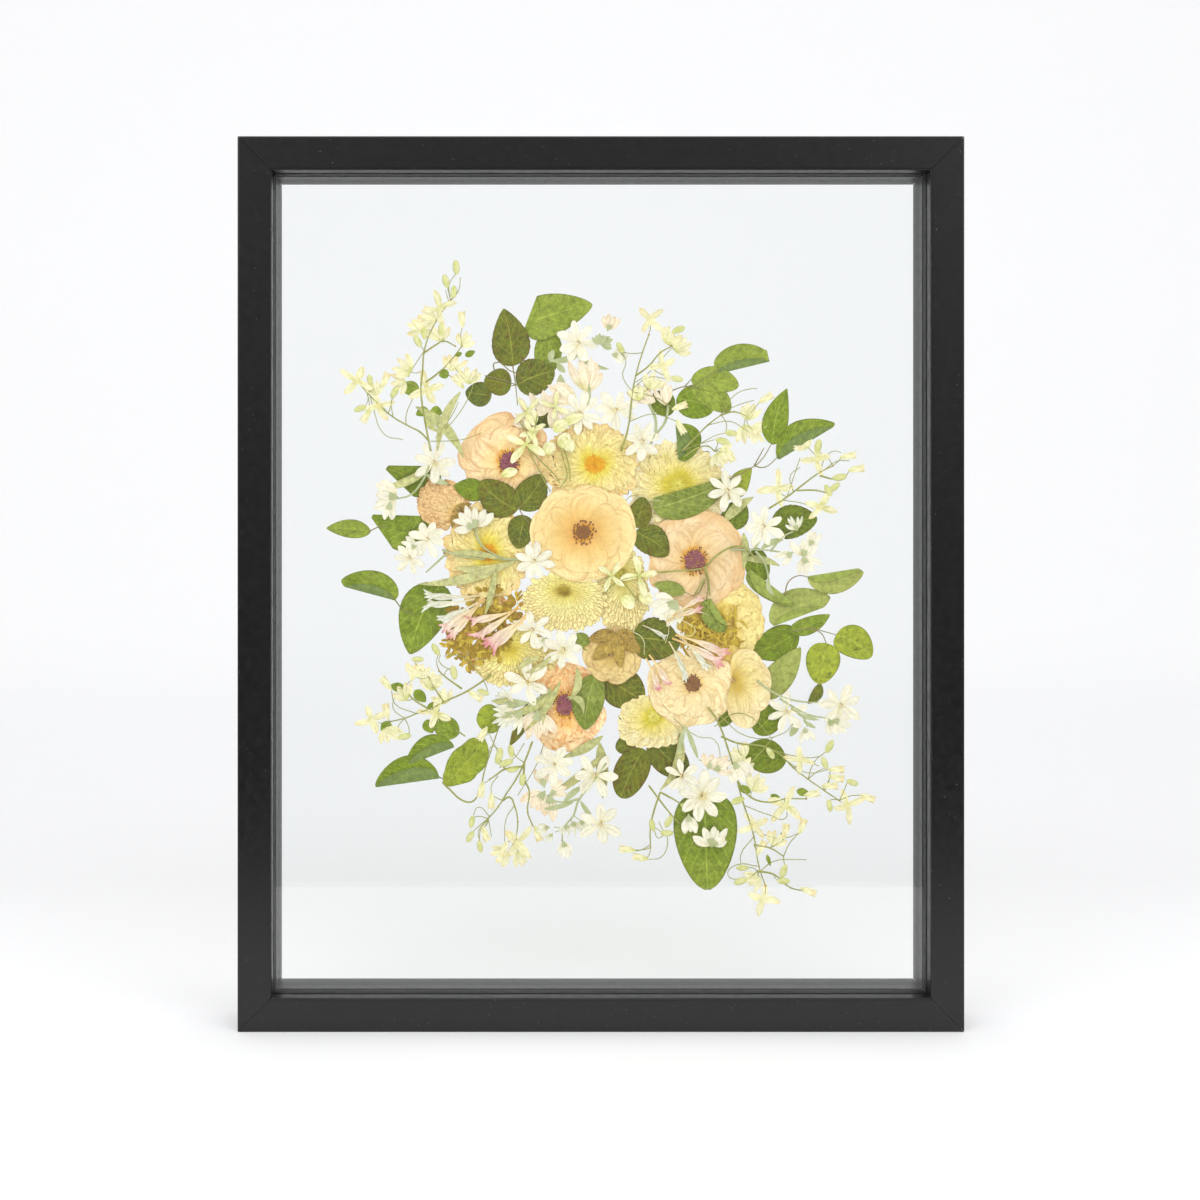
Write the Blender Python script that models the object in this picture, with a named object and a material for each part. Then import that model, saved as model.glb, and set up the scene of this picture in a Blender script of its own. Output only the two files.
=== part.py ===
"""Pressed flower frame.

A see-through picture frame: four mitred rails hold two panes of glass, and a bouquet of pressed
flowers lies flat between the panes. The frame stands on its bottom rail. Its front faces -Y, X runs
to the right, Z up, and the origin is the middle of the underside.

Every pressed piece is a thin flat plate. Pieces that cross each other lie in different layers,
layer 0 against the back pane and the highest layer against the front pane.
"""
import math

import bmesh
import bpy
from mathutils import Matrix, Vector
from mathutils.geometry import delaunay_2d_cdt

MM = 0.001

# ---- Driving dimensions, in millimetres -------------------------------------------------------
GLASS_WIDE = 406.4      # a 16 x 20 inch pane
GLASS_TALL = 508.0
PANE = 2.0              # thickness of one pane
OVERLAP = 5.0           # how far the lip covers the glass
FACE = 20.5             # width of a rail seen from the front
DEPTH = 35.0            # front to back
LIP = 7.0               # thickness of the lip in front of the glass
FREE = 0.3              # gap between pieces that touch
SIDE_FREE = 0.5         # room for the glass in its rabbet
FLOWER_GAP = 6.6        # space between the panes
EDGE_ROUND = 1.2        # rounding of the rails' edges
BEAD_AT = 24.0          # depth at which the retaining strip starts to slope inwards
BEAD = 0.9              # how far that slope stands proud of the lip

LEAF_THICK = 0.4        # thickness of a pressed piece
LAYER_STEP = 0.7        # one layer to the next
STEM = 1.1              # width of a thin stem
TWIG = 0.8              # width of a bud's stalk

# ---- Derived sizes ----------------------------------------------------------------------------
WIDE = GLASS_WIDE + 2 * (FACE - OVERLAP)
TALL = GLASS_TALL + 2 * (FACE - OVERLAP)
FRONT_PANE_AT = LIP + FREE
FLOWERS_AT = FRONT_PANE_AT + PANE
BACK_PANE_AT = FLOWERS_AT + FLOWER_GAP
STRIP_AT = BACK_PANE_AT + PANE + FREE
LAYER_0_AT = BACK_PANE_AT - FREE - LEAF_THICK

# ---- Colours ----------------------------------------------------------------------------------
BLACK = (0.018, 0.017, 0.017)
CLEAR = (0.92, 0.95, 0.94)
SPACER = (0.03, 0.03, 0.03)
PEACH = (0.90, 0.66, 0.38)
PINK_PEACH = (0.88, 0.66, 0.46)
BUTTER = (0.90, 0.68, 0.33)
CREAM = (0.88, 0.76, 0.48)
MUM_YELLOW = (0.86, 0.74, 0.36)
MUM_PALE = (0.85, 0.78, 0.44)
DARK_LEAF = (0.10, 0.14, 0.05)
GREEN_LEAF = (0.26, 0.40, 0.09)
GREY_LEAF = (0.27, 0.36, 0.17)
CLEMATIS = (0.84, 0.80, 0.42)
WHITE_PETAL = (0.90, 0.86, 0.70)
TUBE = (0.88, 0.66, 0.50)


# ---- Tools ------------------------------------------------------------------------------------
def clear_scene():
    for old in list(bpy.data.objects):
        bpy.data.objects.remove(old, do_unlink=True)
    for old in list(bpy.data.collections):
        bpy.data.collections.remove(old)


def new_collection():
    made = bpy.data.collections.new("pressed_flower_frame")
    bpy.context.scene.collection.children.link(made)
    return made


def material(name, colour, roughness, see_through=0.0):
    made = bpy.data.materials.new(name)
    made.use_nodes = True
    shader = made.node_tree.nodes["Principled BSDF"]
    shader.inputs["Base Color"].default_value = (*colour, 1.0)
    shader.inputs["Roughness"].default_value = roughness
    shader.inputs["Metallic"].default_value = 0.0
    shader.inputs["Transmission Weight"].default_value = see_through
    return made


def add(name, mesh, finish):
    mesh.materials.append(finish)
    made = bpy.data.objects.new(name, mesh)
    PARTS.objects.link(made)
    return made


def face_out(bm):
    """Turns every face of a closed mesh outwards."""
    bmesh.ops.recalc_face_normals(bm, faces=bm.faces)
    if bm.calc_volume(signed=True) < 0:
        bmesh.ops.reverse_faces(bm, faces=bm.faces)


def depth(from_front):
    """World y, in metres, of a depth measured in millimetres from the front face."""
    return (from_front - DEPTH / 2) * MM


# ---- The frame --------------------------------------------------------------------------------
def rounded(points, radius, steps=3):
    """The outline with each listed corner cut by an arc: points are (u, v, is_round)."""
    out = []
    count = len(points)
    for i, (u, v, is_round) in enumerate(points):
        here = Vector((u, v))
        if not is_round:
            out.append(here)
            continue
        back = (Vector(points[i - 1][:2]) - here).normalized()
        onward = (Vector(points[(i + 1) % count][:2]) - here).normalized()
        middle = here + (back + onward) * radius
        start = here + back * radius
        turn = (start - middle).angle_signed(here + onward * radius - middle)
        for k in range(steps + 1):
            arm = start - middle
            arm.rotate(Matrix.Rotation(-turn * k / steps, 2))
            out.append(middle + arm)
    return out


def prism(outline, length):
    """A bar along local Z with this outline, as a mesh: a filled 2D curve extruded by half its length."""
    curve = bpy.data.curves.new("outline", "CURVE")
    curve.dimensions = "2D"
    curve.fill_mode = "BOTH"
    curve.extrude = length * MM / 2
    spline = curve.splines.new("POLY")
    spline.points.add(len(outline) - 1)
    for point, (u, v) in zip(spline.points, outline):
        point.co = (u * MM, v * MM, 0, 1)
    spline.use_cyclic_u = True
    drawn = bpy.data.objects.new("outline", curve)
    PARTS.objects.link(drawn)
    mesh = bpy.data.meshes.new_from_object(drawn.evaluated_get(bpy.context.evaluated_depsgraph_get()))
    bpy.data.objects.remove(drawn)
    bpy.data.curves.remove(curve)
    return mesh


def mitred_bar(name, outline, along, height, turn, finish):
    """One side of a rectangular border.

    The outline is (inwards from the outer edge, depth). It becomes a bar along the bottom side of a
    border that is `along` wide, is cut at 45 degrees at both ends, and is turned round the middle of
    the border, which is `height` above the bar.
    """
    mesh = prism(outline, along + 1)
    bm = bmesh.new()
    bm.from_mesh(mesh)
    bmesh.ops.remove_doubles(bm, verts=bm.verts, dist=1e-7)
    # Local (u, v, w) to world: u is up, v is depth, w runs along the side.
    place = Matrix(((0, 0, 1, 0), (0, 1, 0, -DEPTH / 2 * MM), (1, 0, 0, 0), (0, 0, 0, 1)))
    bm.transform(place)
    for way in (-1, 1):
        corner = Vector((way * (along / 2 - FREE / 2) * MM, 0, 0))
        cut = bmesh.ops.bisect_plane(
            bm, geom=bm.verts[:] + bm.edges[:] + bm.faces[:], dist=1e-7,
            plane_co=corner, plane_no=(way, 0, 1), clear_outer=True)
        rim = [e for e in cut["geom_cut"] if isinstance(e, bmesh.types.BMEdge)]
        bmesh.ops.holes_fill(bm, edges=rim, sides=0)
    bm.transform(Matrix.Translation((0, 0, -height / 2 * MM)))
    bm.transform(Matrix.Rotation(math.radians(turn), 4, "Y"))
    bm.transform(Matrix.Translation((0, 0, TALL / 2 * MM)))
    face_out(bm)
    bm.to_mesh(mesh)
    bm.free()
    return add(name, mesh, finish)


def border(names, outline, inset, finish):
    """Four mitred bars round a rectangle that lies `inset` inside the frame's outer edge."""
    wide = WIDE - 2 * inset
    tall = TALL - 2 * inset
    for side, turn in (("bottom", 0), ("top", 180)):
        mitred_bar(names + side, outline, wide, tall, turn, finish)
    for side, turn in (("left", 90), ("right", -90)):
        mitred_bar(names + side, outline, tall, wide, turn, finish)


def rails():
    inner = FACE - OVERLAP - SIDE_FREE
    outline = rounded([(0, 0, True), (0, DEPTH, True), (inner, DEPTH, False),
                       (inner, LIP, False), (FACE, LIP, False), (FACE, 0, True)], EDGE_ROUND)
    border("rail_", outline, 0, material("rail_black", BLACK, 0.55))


def retaining_strips():
    width = OVERLAP + SIDE_FREE - FREE
    outline = [(0, STRIP_AT), (0, DEPTH - FREE), (width, DEPTH - FREE),
               (width + BEAD, DEPTH - 1.5), (width, BEAD_AT), (width, STRIP_AT)]
    inset = FACE - OVERLAP - SIDE_FREE + FREE
    border("strip_", outline, inset, material("strip_black", BLACK, 0.45))


def box(name, size, centre, finish):
    bm = bmesh.new()
    bmesh.ops.create_cube(bm, size=1)
    bmesh.ops.scale(bm, vec=[s * MM for s in size], verts=bm.verts)
    bmesh.ops.translate(bm, vec=centre, verts=bm.verts)
    mesh = bpy.data.meshes.new(name)
    bm.to_mesh(mesh)
    bm.free()
    return add(name, mesh, finish)


def panes():
    glass = material("clear_glass", CLEAR, 0.02, see_through=1.0)
    for name, at in (("pane_front", FRONT_PANE_AT), ("pane_back", BACK_PANE_AT)):
        centre = (0, depth(at + PANE / 2), TALL / 2 * MM)
        box(name, (GLASS_WIDE, PANE, GLASS_TALL), centre, glass)


def spacer():
    """One closed border between the panes, its inner edge flush with the lip."""
    bm = bmesh.new()
    bmesh.ops.create_grid(bm, x_segments=1, y_segments=1, size=0.5)
    bmesh.ops.scale(bm, vec=(GLASS_WIDE * MM, GLASS_TALL * MM, 1), verts=bm.verts)
    rim = bmesh.ops.inset_region(bm, faces=bm.faces[:], thickness=OVERLAP * MM,
                                 use_boundary=True, use_even_offset=True)
    middle = [f for f in bm.faces if f not in rim["faces"]]
    bmesh.ops.delete(bm, geom=middle, context="FACES")
    thick = FLOWER_GAP - 2 * FREE
    shell = bmesh.ops.extrude_face_region(bm, geom=bm.faces[:])
    moved = [v for v in shell["geom"] if isinstance(v, bmesh.types.BMVert)]
    bmesh.ops.translate(bm, vec=(0, 0, thick * MM), verts=moved)
    bm.transform(Matrix.Rotation(math.radians(90), 4, "X"))
    back = depth(FLOWERS_AT + FREE + thick)
    bmesh.ops.translate(bm, vec=(0, back, TALL / 2 * MM), verts=bm.verts)
    face_out(bm)
    mesh = bpy.data.meshes.new("spacer")
    bm.to_mesh(mesh)
    bm.free()
    add("spacer", mesh, material("spacer_black", SPACER, 0.6))


# ---- Outlines of pressed pieces, as lists of (x, z) in millimetres ------------------------------
def bloom(x, z, wide, tall, lobes, cut=0.05):
    """A round head with a scalloped rim."""
    points = 32 if lobes > 9 else 24
    out = []
    for i in range(points):
        a = 2 * math.pi * i / points
        r = 1 - cut * (0.5 - 0.5 * math.cos(lobes * a))
        out.append((x + wide / 2 * r * math.cos(a), z + tall / 2 * r * math.sin(a)))
    return out


def leaf(base, tip, wide, belly=0.42, steps=6):
    """A leaf or petal: pointed at both ends, widest at `belly` of its length."""
    base = Vector(base)
    axis = Vector(tip) - base
    across = Vector((-axis.y, axis.x)).normalized() * wide / 2
    bend = math.log(0.5) / math.log(belly)
    side = []
    for i in range(1, steps):
        t = i / steps
        side.append((t, math.sin(math.pi * t ** bend) ** 0.75))
    out = [base]
    out += [base + axis * t + across * s for t, s in side]
    out.append(base + axis)
    out += [base + axis * t - across * s for t, s in reversed(side)]
    return [tuple(p) for p in out]


def stem(points, width=STEM):
    """A thin stalk along a route, as one ribbon whose sides turn with the route."""
    route = [Vector(p) for p in points]
    left = []
    right = []
    for i, here in enumerate(route):
        along = (route[min(i + 1, len(route) - 1)] - route[max(i - 1, 0)]).normalized()
        across = Vector((-along.y, along.x)) * width / 2
        left.append(tuple(here + across))
        right.append(tuple(here - across))
    return [left + right[::-1]]


def star(x, z, radius, petals, turn=0.0, slim=0.42):
    """A small open flower seen from the front."""
    out = []
    for k in range(petals):
        a = math.radians(turn) + 2 * math.pi * k / petals
        way = Vector((math.cos(a), math.sin(a)))
        middle = Vector((x, z))
        out.append(leaf(middle - way * radius * 0.18, middle + way * radius, radius * slim, 0.62, 3))
    return out


def nearest(point, routes):
    """The closest point of the stems to a bud."""
    return min((p for route in routes for p in route),
               key=lambda p: math.dist(p, point))


def bud(point, routes, length=7.0):
    """A closed bud on a stalk that grows from the nearest joint of the stems."""
    joint = nearest(point, routes)
    way = (Vector(point) - Vector(joint)).normalized()
    tip = Vector(point) + way * length / 2
    base = Vector(point) - way * length / 2
    return [leaf(base, tip, length * 0.45, 0.45, 3)] + stem([joint, tuple(base + way)], TWIG)


# ---- Making a plate ---------------------------------------------------------------------------
def counter_clockwise(outline):
    """The outline in the order that the sheet maker counts as filled."""
    area = sum(a[0] * b[1] - b[0] * a[1] for a, b in zip(outline, outline[1:] + outline[:1]))
    return outline if area > 0 else outline[::-1]


def plate(name, layer, outlines, finish):
    """Joins overlapping outlines into one flat sheet, and gives it its thickness."""
    points = []
    faces = []
    for outline in map(counter_clockwise, outlines):
        faces.append(list(range(len(points), len(points) + len(outline))))
        points += [Vector((x, z)) for x, z in outline]
    flat, _, triangles, _, _, sources = delaunay_2d_cdt(points, [], faces, 1, 1e-3)
    filled = [t for t, source in zip(triangles, sources) if source]
    mesh = bpy.data.meshes.new(name)
    mesh.from_pydata([(p.x * MM, 0, p.y * MM) for p in flat], [], filled)
    bm = bmesh.new()
    bm.from_mesh(mesh)
    bmesh.ops.remove_doubles(bm, verts=bm.verts, dist=1e-5)
    bmesh.ops.dissolve_limit(bm, angle_limit=0.02, verts=bm.verts, edges=bm.edges)
    bmesh.ops.recalc_face_normals(bm, faces=bm.faces)
    shell = bmesh.ops.extrude_face_region(bm, geom=bm.faces[:])
    moved = [v for v in shell["geom"] if isinstance(v, bmesh.types.BMVert)]
    bmesh.ops.translate(bm, vec=(0, LEAF_THICK * MM, 0), verts=moved)
    at = depth(LAYER_0_AT - layer * LAYER_STEP)
    bmesh.ops.translate(bm, vec=(0, at, 0), verts=bm.verts)
    face_out(bm)
    bm.to_mesh(mesh)
    bm.free()
    return add(name, mesh, finish)


# ---- The bouquet ------------------------------------------------------------------------------
def blooms():
    """Large heads: name, layer, centre x and z, width, height, lobes on the rim, colour."""
    heads = (
        ("ranunculus_upper_left", 1, -60, 348, 51, 45, 5, PEACH),
        ("mum_upper", 2, -6, 342, 53, 48, 16, MUM_YELLOW),
        ("mum_upper_right", 0, 48, 328, 52, 47, 12, MUM_PALE),
        ("ranunculus_middle", 4, -10, 299, 64, 58, 6, BUTTER),
        ("ranunculus_right", 2, 59, 285, 58, 59, 5, PINK_PEACH),
        ("mum_left", 2, -69, 288, 47, 58, 14, MUM_YELLOW),
        ("mum_middle", 3, -22, 258, 50, 36, 18, MUM_PALE),
        ("mum_small", 1, 14, 264, 28, 45, 12, MUM_PALE),
        ("mum_lower_left", 1, -53, 224, 52, 35, 14, MUM_YELLOW),
        ("ranunculus_bottom", 1, -18, 193, 40, 56, 5, PEACH),
        ("ranunculus_closed", 3, 9, 224, 35, 29, 4, CREAM),
        ("ranunculus_lower_right", 2, 55, 203, 53, 42, 7, CREAM),
        ("half_bloom_right", 3, 93, 205, 25, 44, 3, CREAM),
        ("crinkled_bloom_right", 1, 76, 248, 48, 54, 9, MUM_YELLOW),
        ("mum_bottom", 1, 33, 184, 40, 30, 12, MUM_YELLOW),
        ("crumpled_bloom_left", 1, -98, 319, 29, 28, 5, PINK_PEACH),
    )
    for name, layer, x, z, wide, tall, lobes, colour in heads:
        finish = material(name, colour, 0.85)
        plate(name, layer, [bloom(x, z, wide, tall, lobes)], finish)


def leaf_plate(name, layer, leaves, stalks, colour):
    """A leaf, or several that grow on one visible stalk."""
    outlines = [leaf(*shape) for shape in leaves]
    for route in stalks:
        outlines += stem(route)
    plate(name, layer, outlines, material(name, colour, 0.7))


def leaves():
    leaf_plate("rose_leaf_top", 3, [
        ((-53, 401), (-58, 436), 24),
        ((-49, 391), (-27, 399), 22),
        ((-54, 390), (-71, 392), 16),
    ], [[(-53, 403), (-51, 382)], [(-56, 390), (-46, 391)]], DARK_LEAF)
    leaf_plate("folded_leaf_top", 2, [((-44, 428), (-6, 439), 21)], [], GREEN_LEAF)
    leaf_plate("rose_leaf_left", 3, [
        ((-50, 317), (-72, 331), 20),
        ((-49, 317), (-35, 335), 19),
        ((-50, 313), (-48, 293), 15),
    ], [[(-51, 319), (-50, 310)]], DARK_LEAF)
    leaf_plate("rose_leaf_right", 3, [
        ((25, 306), (26, 321), 13),
        ((24, 304), (42, 288), 16),
    ], [[(25, 309), (26, 300)]], DARK_LEAF)
    leaf_plate("long_leaf_right", 1, [((36, 322), (76, 331), 13)], [], GREY_LEAF)
    leaf_plate("shoot_upper_right", 3, [
        ((71, 402), (101, 408), 12),
        ((57, 394), (84, 392), 15),
        ((57, 390), (79, 377), 12),
        ((48, 389), (69, 374), 18),
    ], [[(47, 389), (57, 391)], [(57, 394), (72, 402)]], GREEN_LEAF)
    leaf_plate("forked_shoot", 6, [
        ((103, 353), (110, 387), 17),
        ((110, 347), (142, 366), 14),
    ], [[(82, 335), (94, 342), (103, 355)], [(94, 342), (99, 339), (111, 348)]], GREEN_LEAF)
    leaf_plate("dark_leaf_upper_right", 3, [((107, 303), (131, 311), 17)], [], DARK_LEAF)
    leaf_plate("shoot_right", 4, [
        ((90, 275), (118, 257), 9),
        ((128, 272), (161, 277), 13),
    ], [[(112, 261), (119, 271), (132, 274)]], GREY_LEAF)
    leaf_plate("wide_leaf_right", 2, [((108, 247), (140, 258), 15)], [], GREEN_LEAF)
    leaf_plate("dark_leaf_right", 0, [((121, 240), (95, 228), 17)], [], DARK_LEAF)
    leaf_plate("shoot_far_right", 5, [
        ((145, 239), (166, 226), 18),
        ((137, 233), (133, 210), 18),
    ], [[(124, 241), (133, 242), (146, 239)], [(133, 242), (137, 232)]], GREEN_LEAF)
    leaf_plate("round_leaf_middle", 4, [((22, 234), (49, 236), 24)], [], DARK_LEAF)
    leaf_plate("grey_leaf_middle", 2, [((-4, 212), (-9, 181), 17)], [], GREY_LEAF)
    leaf_plate("large_leaf_bottom", 2, [((64, 138), (66, 84), 36)], [], GREEN_LEAF)
    leaf_plate("folded_leaf_left", 0, [((-104, 325), (-130, 341), 22)], [], GREEN_LEAF)
    leaf_plate("leaves_far_left", 0, [
        ((-141, 301), (-166, 302), 11),
        ((-110, 304), (-141, 309), 18),
        ((-113, 306), (-124, 284), 16),
    ], [[(-142, 301), (-132, 304)]], GREEN_LEAF)
    leaf_plate("leaves_lower_far_left", 0, [
        ((-99, 270), (-115, 228), 26),
        ((-125, 259), (-157, 271), 13),
    ], [[(-126, 260), (-112, 250)]], GREEN_LEAF)
    leaf_plate("shoot_lower_left", 3, [
        ((-90, 168), (-117, 160), 11),
        ((-99, 149), (-136, 145), 13),
        ((-78, 176), (-95, 146), 20),
        ((-60, 183), (-72, 193), 14),
    ], [
        [(-91, 169), (-84, 163)],
        [(-100, 149), (-93, 145), (-89, 140), (-82, 135), (-76, 139), (-71, 150), (-66, 168), (-61, 183)],
    ], GREEN_LEAF)


def spray(name, layer, routes, stars, buds, petals=4, colour=CLEMATIS, size=11.0):
    """A branching spray: stems, open flowers on stalks, and buds on stalks."""
    outlines = []
    for route in routes:
        outlines += stem(route)
    for i, point in enumerate(stars):
        outlines += star(*point, size, petals, turn=37 * i)
        outlines += stem([nearest(point, routes), point], TWIG)
    for point in buds:
        outlines += bud(point, routes)
    plate(name, layer, outlines, material(name, colour, 0.8))


def clematis_sprays():
    spray("clematis_upper_left", 6, [
        [(-103, 354), (-107, 371), (-109, 387), (-107, 405), (-103, 423), (-91, 442)],
        [(-104, 359), (-116, 365), (-129, 373), (-142, 386)],
    ], [(-98, 436), (-80, 420), (-89, 403), (-116, 401), (-137, 378), (-148, 393)],
        [(-87, 461), (-94, 455), (-112, 419), (-86, 391)])
    spray("clematis_upper_middle", 5, [
        [(16, 357), (18, 368), (20, 386), (22, 404), (28, 417), (33, 428)],
    ], [(34, 431), (38, 406)], [(48, 424), (46, 394), (12, 413), (48, 378)])
    spray("clematis_upper_right", 5, [
        [(52, 362), (60, 369), (70, 377), (78, 376), (90, 373)],
        [(52, 362), (62, 356), (69, 350)],
    ], [(94, 372), (71, 347)], [(102, 382), (80, 362)])
    spray("clematis_right", 7, [
        [(103, 315), (114, 322), (123, 329), (134, 337), (148, 342)],
    ], [(133, 347), (108, 328), (134, 317)], [(156, 340), (152, 348), (145, 329)])
    spray("clematis_left", 5, [
        [(-71, 210), (-82, 203), (-95, 197), (-109, 191), (-119, 187), (-128, 185)],
        [(-95, 197), (-101, 206)],
    ], [(-139, 186), (-99, 188), (-102, 216), (-117, 203)],
        [(-130, 209), (-100, 230), (-112, 224), (-89, 214), (-121, 175)])
    spray("clematis_bottom_left", 6, [
        [(-41, 173), (-46, 160), (-57, 141), (-67, 126)],
        [(-57, 141), (-53, 131), (-53, 118)],
    ], [(-53, 112)], [(-79, 119), (-72, 111), (-36, 118), (-65, 164)])
    spray("clematis_lower_right", 6, [
        [(72, 185), (78, 169), (87, 137), (94, 115), (97, 97), (100, 85)],
        [(74, 174), (93, 171), (110, 165), (127, 150), (146, 138)],
    ], [(93, 122), (115, 135), (94, 144), (86, 158), (124, 162), (152, 134), (100, 77)],
        [(141, 170), (146, 153), (164, 140), (122, 121), (112, 97), (85, 97), (127, 82)])


def white_sprays():
    spray("white_flowers_right", 5, [
        [(35, 276), (64, 278), (86, 291), (94, 288), (107, 289), (116, 293)],
        [(64, 278), (66, 263)],
        [(94, 288), (99, 300)],
    ], [(100, 304), (126, 294)], [(107, 268), (67, 255)], 7, WHITE_PETAL, 13.0)
    spray("white_flowers_lower_right", 5, [
        [(104, 204), (112, 199), (124, 197), (136, 197)],
        [(112, 199), (119, 193), (136, 189)],
        [(119, 193), (125, 180)],
    ], [(114, 190), (147, 195)], [(127, 176), (144, 183)], 7, WHITE_PETAL, 13.0)
    spray("white_flowers_bottom", 7, [
        [(-4, 172), (-4, 158), (-13, 140), (-18, 124)],
        [(-13, 140), (-24, 138)],
    ], [(-28, 160), (-3, 152), (1, 122)], [(-24, 108), (-35, 137)], 7, WHITE_PETAL, 13.0)


def tube_flowers():
    """Honeysuckle-like tubes that fan out from one joint."""
    fans = (
        ("tube_flowers_left", 4, (-48, 257), [(-78, 245), (-68, 236), (-83, 250)]),
        ("tube_flowers_right", 7, (40, 237), [(78, 224), (62, 216), (44, 206), (55, 222)]),
    )
    for name, layer, joint, tips in fans:
        outlines = [leaf(joint, tip, 6, 0.75, 6) for tip in tips]
        outlines.append(bloom(*joint, 5, 5, 1, 0))
        plate(name, layer, outlines, material(name, TUBE, 0.8))


clear_scene()
PARTS = new_collection()
rails()
panes()
spacer()
retaining_strips()
blooms()
leaves()
clematis_sprays()
white_sprays()
tube_flowers()
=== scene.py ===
"""Looks of the pressed flower frame: detailed petals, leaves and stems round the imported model.

Lengths are in millimetres while a piece is being made: x to the right, y towards the back, z up.
"Lift" is how far a pressed piece lies in front of the back pane.
"""
import math
import random

import bmesh
import bpy
from mathutils import Matrix, Vector, noise


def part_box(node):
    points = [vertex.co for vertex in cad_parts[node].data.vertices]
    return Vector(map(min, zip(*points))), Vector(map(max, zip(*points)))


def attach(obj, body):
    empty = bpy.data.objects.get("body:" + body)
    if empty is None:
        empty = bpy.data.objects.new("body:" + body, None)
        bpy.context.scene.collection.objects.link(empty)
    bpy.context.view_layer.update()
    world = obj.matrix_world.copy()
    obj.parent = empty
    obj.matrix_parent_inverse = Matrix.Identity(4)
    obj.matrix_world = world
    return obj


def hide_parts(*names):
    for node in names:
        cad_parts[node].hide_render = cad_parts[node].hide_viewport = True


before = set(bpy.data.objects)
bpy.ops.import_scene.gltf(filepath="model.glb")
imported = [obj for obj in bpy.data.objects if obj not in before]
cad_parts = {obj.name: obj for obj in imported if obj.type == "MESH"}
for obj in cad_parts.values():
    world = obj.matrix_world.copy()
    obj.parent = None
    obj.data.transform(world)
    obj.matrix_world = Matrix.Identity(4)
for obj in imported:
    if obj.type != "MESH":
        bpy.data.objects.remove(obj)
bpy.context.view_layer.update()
chance = random.Random(11)

MM = 0.001
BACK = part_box("pane_back")[0].y / MM
FRAME_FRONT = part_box("rail_bottom")[0].y / MM
LAYER_0 = 0.35                  # lift of the lowest layer of pressed pieces
LAYER_STEP = 0.7
PETAL_THICK = 0.12
LEAF_THICK = 0.16
SMALL_THICK = 0.1
FINE_THICK = 0.09
BEAD_DEPTH = 0.4
SUNFLOWER_TURN = 2.39996        # radians from one bead to the next


# ---- Colour and node tools ---------------------------------------------------------------------
def paint(red, green, blue):
    """A colour picked on a 0 to 255 screen scale, as light."""
    out = []
    for level in (red, green, blue):
        c = level / 255
        out.append(c / 12.92 if c <= 0.04045 else ((c + 0.055) / 1.055) ** 2.4)
    return (*out, 1.0)


def put(tree, kind, inputs=None, output=0, **settings):
    """Adds a node, sets or links its inputs, and returns one of its outputs."""
    made = tree.nodes.new(kind)
    for key, value in settings.items():
        setattr(made, key, value)
    for key, value in (inputs or {}).items():
        if isinstance(value, bpy.types.NodeSocket):
            tree.links.new(value, made.inputs[key])
        else:
            made.inputs[key].default_value = value
    return made.outputs[output]


def calc(tree, operation, a, b=0.0):
    return put(tree, "ShaderNodeMath", {0: a, 1: b}, operation=operation)


def mix(tree, share, a, b, way="MIX"):
    return put(tree, "ShaderNodeMix", {0: share, 6: a, 7: b}, 2, data_type="RGBA", blend_type=way)


def spread(tree, value, low, high, to_low=0.0, to_high=1.0):
    return put(tree, "ShaderNodeMapRange", {0: value, 1: low, 2: high, 3: to_low, 4: to_high})


def cloud(tree, where, scale, detail=2.0, rough=0.5):
    made = {"Vector": where, "Scale": scale, "Detail": detail, "Roughness": rough}
    return put(tree, "ShaderNodeTexNoise", made)


def ramp(tree, at, stops):
    made = tree.nodes.new("ShaderNodeValToRGB")
    tree.links.new(at, made.inputs[0])
    marks = made.color_ramp.elements
    while len(marks) < len(stops):
        marks.new(0.5)
    for mark, (place, colour) in zip(marks, stops):
        mark.position = place
        mark.color = colour
    return made.outputs[0]


def new_finish(name, roughness, specular=0.3):
    made = bpy.data.materials.new(name)
    made.use_nodes = True
    shader = made.node_tree.nodes["Principled BSDF"]
    shader.inputs["Roughness"].default_value = roughness
    shader.inputs["Specular IOR Level"].default_value = specular
    return made, made.node_tree, shader


def times(tree, a, b):
    return calc(tree, "MULTIPLY", a, b)


def plus(tree, a, b):
    return calc(tree, "ADD", a, b)


def place_of(tree):
    """The piece's own place, in metres."""
    return put(tree, "ShaderNodeTexCoord", output=3)


def sheet_value(tree, name):
    return put(tree, "ShaderNodeAttribute", output=2, attribute_name=name)


def split_up(tree, vector):
    parts = tree.nodes.new("ShaderNodeSeparateXYZ")
    tree.links.new(vector, parts.inputs[0])
    return parts.outputs


def shaded(tree, shader, colour, light):
    """The base colour, made lighter or darker."""
    grey = put(tree, "ShaderNodeCombineColor", {0: light, 1: light, 2: light})
    tree.links.new(mix(tree, 1.0, colour, grey, "MULTIPLY"), shader.inputs["Base Color"])


def bump(tree, shader, height, strength, distance):
    made = {"Strength": strength, "Distance": distance, "Height": height}
    tree.links.new(put(tree, "ShaderNodeBump", made), shader.inputs["Normal"])


def sheet_places(tree):
    """What a pressed sheet knows of itself: length, width from -1 to 1, tone, reach, and its place."""
    flat = split_up(tree, put(tree, "ShaderNodeUVMap", uv_map="UVMap"))
    side = calc(tree, "MULTIPLY_ADD", flat[1], 2.0)
    side.node.inputs[2].default_value = -1.0
    return flat[0], side, sheet_value(tree, "tone"), sheet_value(tree, "reach"), place_of(tree)


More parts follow.
